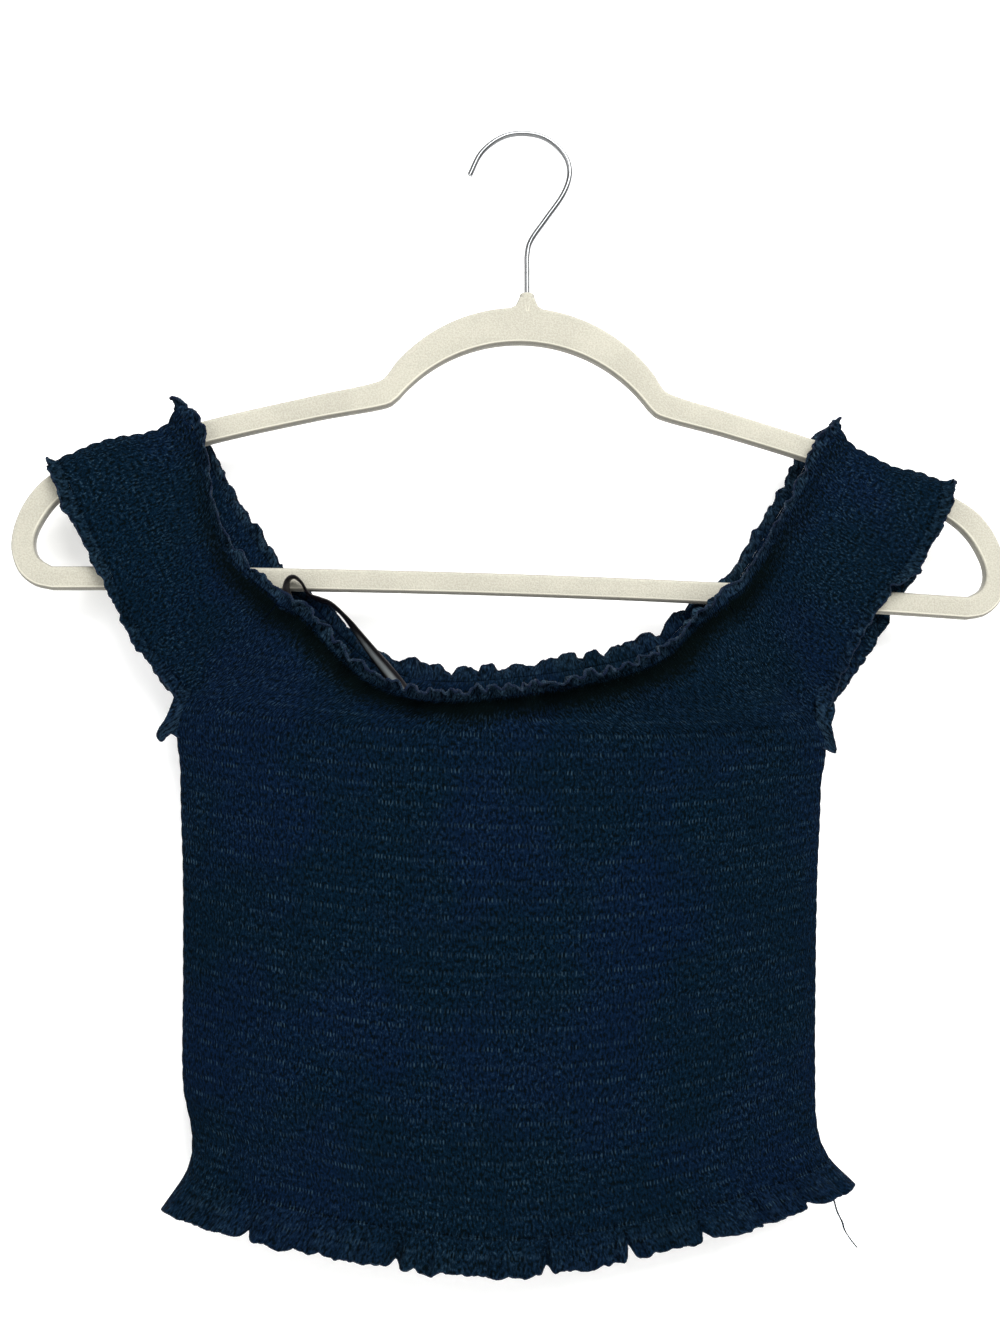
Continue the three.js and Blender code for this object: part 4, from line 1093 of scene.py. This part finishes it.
# How each frill hangs, in millimetres: the pitch and depth of its flutes, how crumpled it is, how far it
# leans out and curls at its edge, how far its lobes stand out, how much of each end is held, the radius of
# its overlocked edge, and how strong the painted highlight is where it is free, from 0 to 1.
STYLE_NAMES = ("lines", "pitch", "depth", "crumple", "lean", "curl", "lobes", "hold", "edge", "worn")
FRILL_STYLES = {
    "front_neck": (15, 9.4, 1.1, 2.3, 3.2, 2.4, 2.2, 9.0, 0.62, 1.0),
    "back_neck": (15, 13.6, 1.9, 0.9, 1.6, 0.6, 4.4, 9.0, 0.5, 0.35),
    "front_hem": (23, 13.6, 2.4, 0.6, 0.6, 0.8, 1.6, 7.0, 0.36, 0.16),
    "back_hem": (23, 12.8, 2.4, 0.6, 0.6, 0.8, 1.6, 7.0, 0.36, 0.16),
    "left_cuff": (13, 12.4, 0.9, 1.2, 1.6, 1.1, 0.8, 6.0, 0.42, 0.4),
    "right_cuff": (13, 11.6, 0.9, 1.2, 1.6, 1.1, 0.8, 6.0, 0.42, 0.4),
    "left_neck": (13, 10.4, 1.0, 1.6, 1.6, 1.7, 1.4, 8.0, 0.55, 0.85),
    "right_neck": (13, 10.8, 1.0, 1.6, 1.6, 1.7, 1.4, 8.0, 0.55, 0.85),
}


def dress(cloth, upper, lower, corner=None):
    """A piece of cloth with its two frills."""
    material = bpy.data.materials.get("navy_crepe") or cloth_material()
    thread = bpy.data.materials.get("overlock_thread") or thread_material()
    body = shirred(cloth, material)
    edges = [*flap(corner, material, thread)] if corner else []
    if lower == "front_hem":
        edges.append(pulled_thread(material))
    for name, at_top in ((upper, True), (lower, False)):
        style = dict(zip(STYLE_NAMES, FRILL_STYLES[name]))
        edges += frill(cloth, name, at_top, style, material, thread)


def flap(name, material, thread):
    """A crumpled corner of a frill, with its overlocked edge."""
    marks = FLAPS[name]
    along, reach = np.linspace(0, 1, 49), np.linspace(0, 1, 13)[:, None]
    root, edge = (Route([(x, 0, z) for x, z in marks[key]], 120)(along)[None] for key in ("root", "edge"))
    middle = mix(root, edge, reach[..., None])
    seed = len(name)
    wave = 1.7 * np.sin(2 * HALF_TURN * (1.7 * along + 0.1 * seed)) * reach ** 0.8
    crumple = 0.9 * wander(along * 9, reach * 3, seed) + 0.5 * wander(along * 19, reach * 5, seed + 1)
    middle[..., 1] = -FLAP_FORWARD + wave + crumple * (0.3 + 0.7 * reach)
    half = np.array([0, settings().cloth.thickness / MM / 2, 0])
    points, quads, rims = shell(middle - half, middle[::6, ::6] + half)
    # The third part sets the painted highlight on the flap's crumples.
    gather = stacked(along * 26, reach * 8, 0.6 + 0 * reach)
    gather = np.vstack([gather.reshape(-1, 3), gather[::6, ::6].reshape(-1, 3)])
    piece = add_mesh(name, points, quads, rims, gather, material, [])
    return piece, add_thread(name + "_overlock", middle[-1], thread)


class TOP_OT_camera(bpy.types.Operator):
    """Adds the camera at the eye that sees the top from a little below and to the left"""
    bl_idname = "crop_top.camera"
    bl_label = "Camera"

    def execute(self, context):
        eye, target = Vector(CAMERA["eye"]) * MM, Vector(CAMERA["target"]) * MM
        deselect()
        bpy.ops.object.camera_add(location=eye)
        camera = context.object
        camera.name = "camera"
        camera.rotation_euler = (target - eye).to_track_quat("-Z", "Y").to_euler()
        camera.data.sensor_width = CAMERA["sensor"]
        camera.data.lens = CAMERA["sensor"] * CAMERA["focal_length"] / CAMERA["picture_height"]
        camera.data.clip_start, camera.data.clip_end = 0.01, 20
        context.scene.camera = camera
        return {"FINISHED"}


class TOP_OT_hanging_loop(bpy.types.Operator):
    """Adds the satin ribbon that loops out of the neck"""
    bl_idname = "crop_top.hanging_loop"
    bl_label = "Hanging loop"

    def execute(self, context):
        route = stacked(LOOP_ROUTE["x"], LOOP_ROUTE["y"], LOOP_ROUTE["z"])
        centre = Route(route, 600)
        shares = np.linspace(0, 1, 121)
        middle = centre(shares)
        along = centre(shares + 0.004) - centre(shares - 0.004)
        along /= np.linalg.norm(along, axis=1, keepdims=True)
        stops = np.linspace(0, 1, len(LOOP_ROUTE["turn"]))
        turn = np.radians(smooth(stops, LOOP_ROUTE["turn"], shares))[:, None]
        flat = np.cross([0.0, 1.0, 0.0], along)
        flat /= np.linalg.norm(flat, axis=1, keepdims=True)
        width = np.array([0.0, 1.0, 0.0]) * np.cos(turn) + flat * np.sin(turn)
        width -= along * np.sum(width * along, axis=1, keepdims=True)
        width /= np.linalg.norm(width, axis=1, keepdims=True)
        lift = np.cross(width, along)
        u = np.linspace(-1, 1, 13)
        bow = LOOP["bow"] * (1 - u ** 2)
        ribbon = middle[:, None] + width[:, None] * (u * LOOP["width"] / 2)[None, :, None]
        ribbon = ribbon + lift[:, None] * bow[None, :, None]
        thick = LOOP["thickness"] / 2
        outer, inner = ribbon + lift[:, None] * thick, ribbon - lift[:, None] * thick
        points, quads, rims = shell(outer, inner)
        gather = stacked(shares[:, None] * centre.length, u[None, :], 0).reshape(-1, 3)
        piece = add_mesh("satin_loop", points, quads, rims, np.vstack([gather, gather]),
                         satin_material(), ["hanging_loop"])
        [tuple(p) for p in middle * MM]
        return {"FINISHED"}


def panel(node, sections, facing, seed):
    outward = lambda across: np.array([0.0, facing, 0.0])
    return Cloth(node, panel_surface(sections, facing), outward, ROWS["last"], seed)


def sleeve(node, shape, side, seed):
    front, back = panel_surface(FRONT_SECTIONS, -1), panel_surface(BACK_SECTIONS, 1)

    def outward(place):
        turn = np.minimum(1, np.abs(place) / SLEEVE["fold_share"]) * HALF_TURN / 2
        return stacked(0, np.sign(place) * np.sin(turn), np.cos(turn))

    return Cloth(node, sleeve_surface(shape, side, front, back), outward, SLEEVE["rows"] - 1, seed)


def pulled_thread(material):
    """A thread that hangs loose from the hem's right corner."""
    route = Route(PULLED_THREAD, 300)(np.linspace(0, 1, 60))
    return add_thread("pulled_thread", route, material, radius=PULLED_THREAD_RADIUS)


class TOP_OT_panels(bpy.types.Operator):
    """Adds the front and the back panel with their neck and hem frills"""
    bl_idname = "crop_top.panels"
    bl_label = "Front and back"

    def execute(self, context):
        seed = settings().cloth.seed
        front = panel("front_panel", FRONT_SECTIONS, -1, seed)
        dress(front, "front_neck", "front_hem")
        back = panel("back_panel", BACK_SECTIONS, 1, seed + 31)
        dress(back, "back_neck", "back_hem")
        return {"FINISHED"}


class TOP_OT_sleeves(bpy.types.Operator):
    """Adds the two short sleeves over the hanger's arms"""
    bl_idname = "crop_top.sleeves"
    bl_label = "Sleeves"

    def execute(self, context):
        seed = settings().cloth.seed
        left = sleeve("sleeve_left", LEFT_SLEEVE, -1, seed + 57)
        dress(left, "left_neck", "left_cuff", "left_flap")
        right = sleeve("sleeve_right", RIGHT_SLEEVE, 1, seed + 83)
        dress(right, "right_neck", "right_cuff", "right_flap")
        return {"FINISHED"}


def closed_outline(half):
    """Both halves of an outline of the hanger, from its right half."""
    right = [tipped(x, z) for x, z in half]
    left = [tipped(-x, z) for x, z in half if x > 0.01]
    return right + left[::-1]


def arch_half(top, radius, end_x, count):
    xs = np.linspace(0, end_x, count, endpoint=False)
    return [(x, top - radius + math.sqrt(radius * radius - x * x)) for x in xs]


def smooth_half(points, count):
    route = Route(stacked(*np.array(points).T, 0))
    return [tuple(p[:2]) for p in route(np.linspace(0, 1, count))]


def bar_half(middle, end, count):
    shares = 1 - np.arange(1, count + 1) / count
    return [(end[0] * s, mix(middle, end[1], s * s)) for s in shares]


def add_poly(curve, points):
    """A spline of straight stretches through points in metres."""
    spline = curve.splines.new("POLY")
    spline.points.add(len(points) - 1)
    for point, place in zip(spline.points, points):
        point.co = (*place, 1)
    return spline


def mesh_of(context, name, curve, turn=0.0):
    """The piece that a curve makes, turned about X, as a mesh that is selected and active."""
    piece = bpy.data.objects.new(name, curve)
    context.collection.objects.link(piece)
    piece.rotation_euler = (turn, 0, 0)
    deselect()
    piece.select_set(True)
    context.view_layer.objects.active = piece
    bpy.ops.object.convert(target="MESH")
    bpy.ops.object.transform_apply(location=True, rotation=True, scale=True)
    return context.object


def round_edges(piece, width, least_degrees, smooth_degrees):
    """Rounds the active piece's edges that turn by more than the least angle, and shades it smooth."""
    bevel = piece.modifiers.new("rounded", "BEVEL")
    bevel.width, bevel.segments, bevel.limit_method = width, 3, "ANGLE"
    bevel.angle_limit = math.radians(least_degrees)
    bpy.ops.object.modifier_apply(modifier="rounded")
    bpy.ops.object.shade_smooth_by_angle(angle=math.radians(smooth_degrees))


def hanger_outlines():
    size = HANGER
    outside = NECK_FLARE + arch_half(size["arch_top"], size["arch_radius"], ARM_TOP[0][0], 40)[5:]
    outside += smooth_half(ARM_TOP + END_OUTSIDE, 90) + bar_half(size["bar_bottom"], END_OUTSIDE[-1], 12)
    inside = arch_half(size["arch_inner_top"], size["arch_inner_radius"], ARM_BOTTOM[0][0], 36)
    inside += smooth_half(ARM_BOTTOM + END_INSIDE, 84) + bar_half(size["bar_top"], END_INSIDE[-1], 12)
    return closed_outline(outside), closed_outline(inside)


class TOP_OT_hanger(bpy.types.Operator):
    """Adds the flocked body of the hanger and the boss that holds the hook"""
    bl_idname = "crop_top.hanger"
    bl_label = "Hanger"

    def execute(self, context):
        size = settings().hanger
        curve = bpy.data.curves.new("hanger_outline", "CURVE")
        curve.dimensions, curve.fill_mode = "2D", "BOTH"
        for outline in hanger_outlines():
            add_poly(curve, [(x * MM, z * MM, 0) for x, z in outline]).use_cyclic_u = True
        curve.extrude = size.thickness / 2 - size.bevel
        curve.bevel_depth, curve.bevel_resolution, curve.offset = size.bevel, 4, -size.bevel
        body = mesh_of(context, "hanger_velvet", curve, HALF_TURN / 2)
        bpy.ops.object.mode_set(mode="EDIT")
        bpy.ops.mesh.select_all(action="SELECT")
        bpy.ops.mesh.remove_doubles(threshold=0.01 * MM)
        bpy.ops.mesh.normals_make_consistent(inside=False)
        bpy.ops.object.mode_set(mode="OBJECT")
        bpy.ops.object.shade_smooth_by_angle(angle=math.radians(40))
        boss = self.boss(context, size)
        deselect()
        boss.select_set(True)
        body.select_set(True)
        context.view_layer.objects.active = body
        bpy.ops.object.join()
        body.data.materials.clear()
        body.data.materials.append(flock_material())
        finished(body, ["hanger_body"])
        return {"FINISHED"}

    def boss(self, context, size):
        top, foot = HANGER["neck_top"] * MM, HANGER["boss_foot"] * MM
        deselect()
        bpy.ops.mesh.primitive_cone_add(
            vertices=40, radius1=0.9 * size.boss_radius, radius2=size.boss_radius, depth=top - foot,
            location=(HANGER["neck_x"] * MM, 0, (top + foot) / 2))
        boss = context.object
        bpy.ops.object.transform_apply(location=True, rotation=True, scale=True)
        bpy.ops.object.mode_set(mode="EDIT")
        bpy.ops.mesh.select_all(action="DESELECT")
        bpy.ops.object.mode_set(mode="OBJECT")
        for face in boss.data.polygons:
            face.select = face.normal.z > 0.9
        bpy.ops.object.mode_set(mode="EDIT")
        bpy.ops.mesh.select_mode(type="FACE")
        bpy.ops.mesh.inset(thickness=size.boss_radius - HANGER["bore_radius"] * MM)
        drop = (0, 0, -HANGER["bore_depth"] * MM)
        bpy.ops.mesh.extrude_region_move(TRANSFORM_OT_translate={"value": drop})
        bpy.ops.object.mode_set(mode="OBJECT")
        round_edges(boss, 0.9 * MM, 30, 40)
        return boss


class TOP_OT_hook(bpy.types.Operator):
    """Adds the bent wire hook"""
    bl_idname = "crop_top.hook"
    bl_label = "Hook"

    def execute(self, context):
        size = settings().hanger
        foot = (HANGER["neck_x"], HANGER["wire_foot"])
        route = Route([(x, 0, z) for x, z in HOOK_ROUTE + [foot]], 500)
        curve = bpy.data.curves.new("hook_wire", "CURVE")
        curve.dimensions, curve.bevel_depth, curve.bevel_resolution = "3D", size.wire_radius, 5
        curve.use_fill_caps = True
        add_poly(curve, route(np.linspace(0, 1, 161)) * MM)
        hook = mesh_of(context, "hook_wire", curve)
        round_edges(hook, 0.4 * MM, 60, 50)
        hook.data.materials.append(chrome_material())
        finished(hook, ["hanger_hook"])
        return {"FINISHED"}


class TOP_OT_stage(bpy.types.Operator):
    """Adds the pale floor, the pale wall behind and the soft lights"""
    bl_idname = "crop_top.stage"
    bl_label = "Stage"

    def execute(self, context):
        size = settings().stage
        low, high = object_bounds()
        floor_z = low.z - size.floor_drop
        deselect()
        bpy.ops.mesh.primitive_plane_add(size=8, location=(0, -4 + size.wall_gap, floor_z))
        floor = context.object
        floor.name = "floor"
        floor.data.materials.append(floor_material())
        deselect()
        bpy.ops.mesh.primitive_plane_add(
            size=4, location=(0, size.wall_gap, floor_z + 2), rotation=(HALF_TURN / 2, 0, 0))
        wall = context.object
        wall.name = "wall"
        wall.data.materials.append(wall_material())
        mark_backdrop(floor, wall)
        self.light("key_light", (0.45, -1.3, 0.95), 1.3, size.key_power)
        self.light("fill_light", (-1.1, -1.3, 0.1), 1.2, size.fill_power)
        self.light("back_light", (0.3, 1.7, 0.2), 1.2, 2.2 * size.fill_power)
        world = bpy.data.worlds.new("pale_room")
        world.use_nodes = True
        world.node_tree.nodes["Background"].inputs["Color"].default_value = (1.0, 1.0, 1.0, 1.0)
        world.node_tree.nodes["Background"].inputs["Strength"].default_value = size.room
        context.scene.world = world
        context.scene.view_settings.view_transform = "Standard"
        return {"FINISHED"}

    def light(self, name, place, width, power):
        deselect()
        bpy.ops.object.light_add(type="AREA", location=place)
        light = bpy.context.object
        light.name = name
        light.data.size, light.data.energy = width, power
        aim = Vector(LIT_PLACE) - Vector(place)
        light.rotation_euler = aim.to_track_quat("-Z", "Y").to_euler()


STEPS = ("camera", "hanging_loop", "panels", "sleeves", "hanger", "hook", "stage")


class TOP_PT_panel(bpy.types.Panel):
    bl_idname = "TOP_PT_crop_top"
    bl_label = "Shirred crop top"
    bl_space_type = "VIEW_3D"
    bl_region_type = "UI"
    bl_category = "Crop top"

    def draw(self, context):
        for name in STEPS:
            self.layout.operator("crop_top." + name)
        for group in (settings().cloth, settings().hanger, settings().stage):
            box = self.layout.box()
            for prop in group.bl_rna.properties:
                if prop.identifier not in ("rna_type", "name"):
                    box.prop(group, prop.identifier)


CLASSES = (
    ClothSettings, HangerSettings, StageSettings, TopSettings, TOP_OT_camera, TOP_OT_hanging_loop,
    TOP_OT_panels, TOP_OT_sleeves, TOP_OT_hanger, TOP_OT_hook, TOP_OT_stage, TOP_PT_panel,
)


def register():
    for cls in CLASSES:
        bpy.utils.register_class(cls)
    bpy.types.Scene.crop_top = PointerProperty(type=TopSettings)


def unregister():
    del bpy.types.Scene.crop_top
    for cls in reversed(CLASSES):
        bpy.utils.unregister_class(cls)


def main():
    solids = [list(corner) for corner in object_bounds()]
    register()
    for name in STEPS:
        getattr(bpy.ops.crop_top, name)()
    looks = [list(corner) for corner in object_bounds()]


if __name__ == "__main__":
    main()
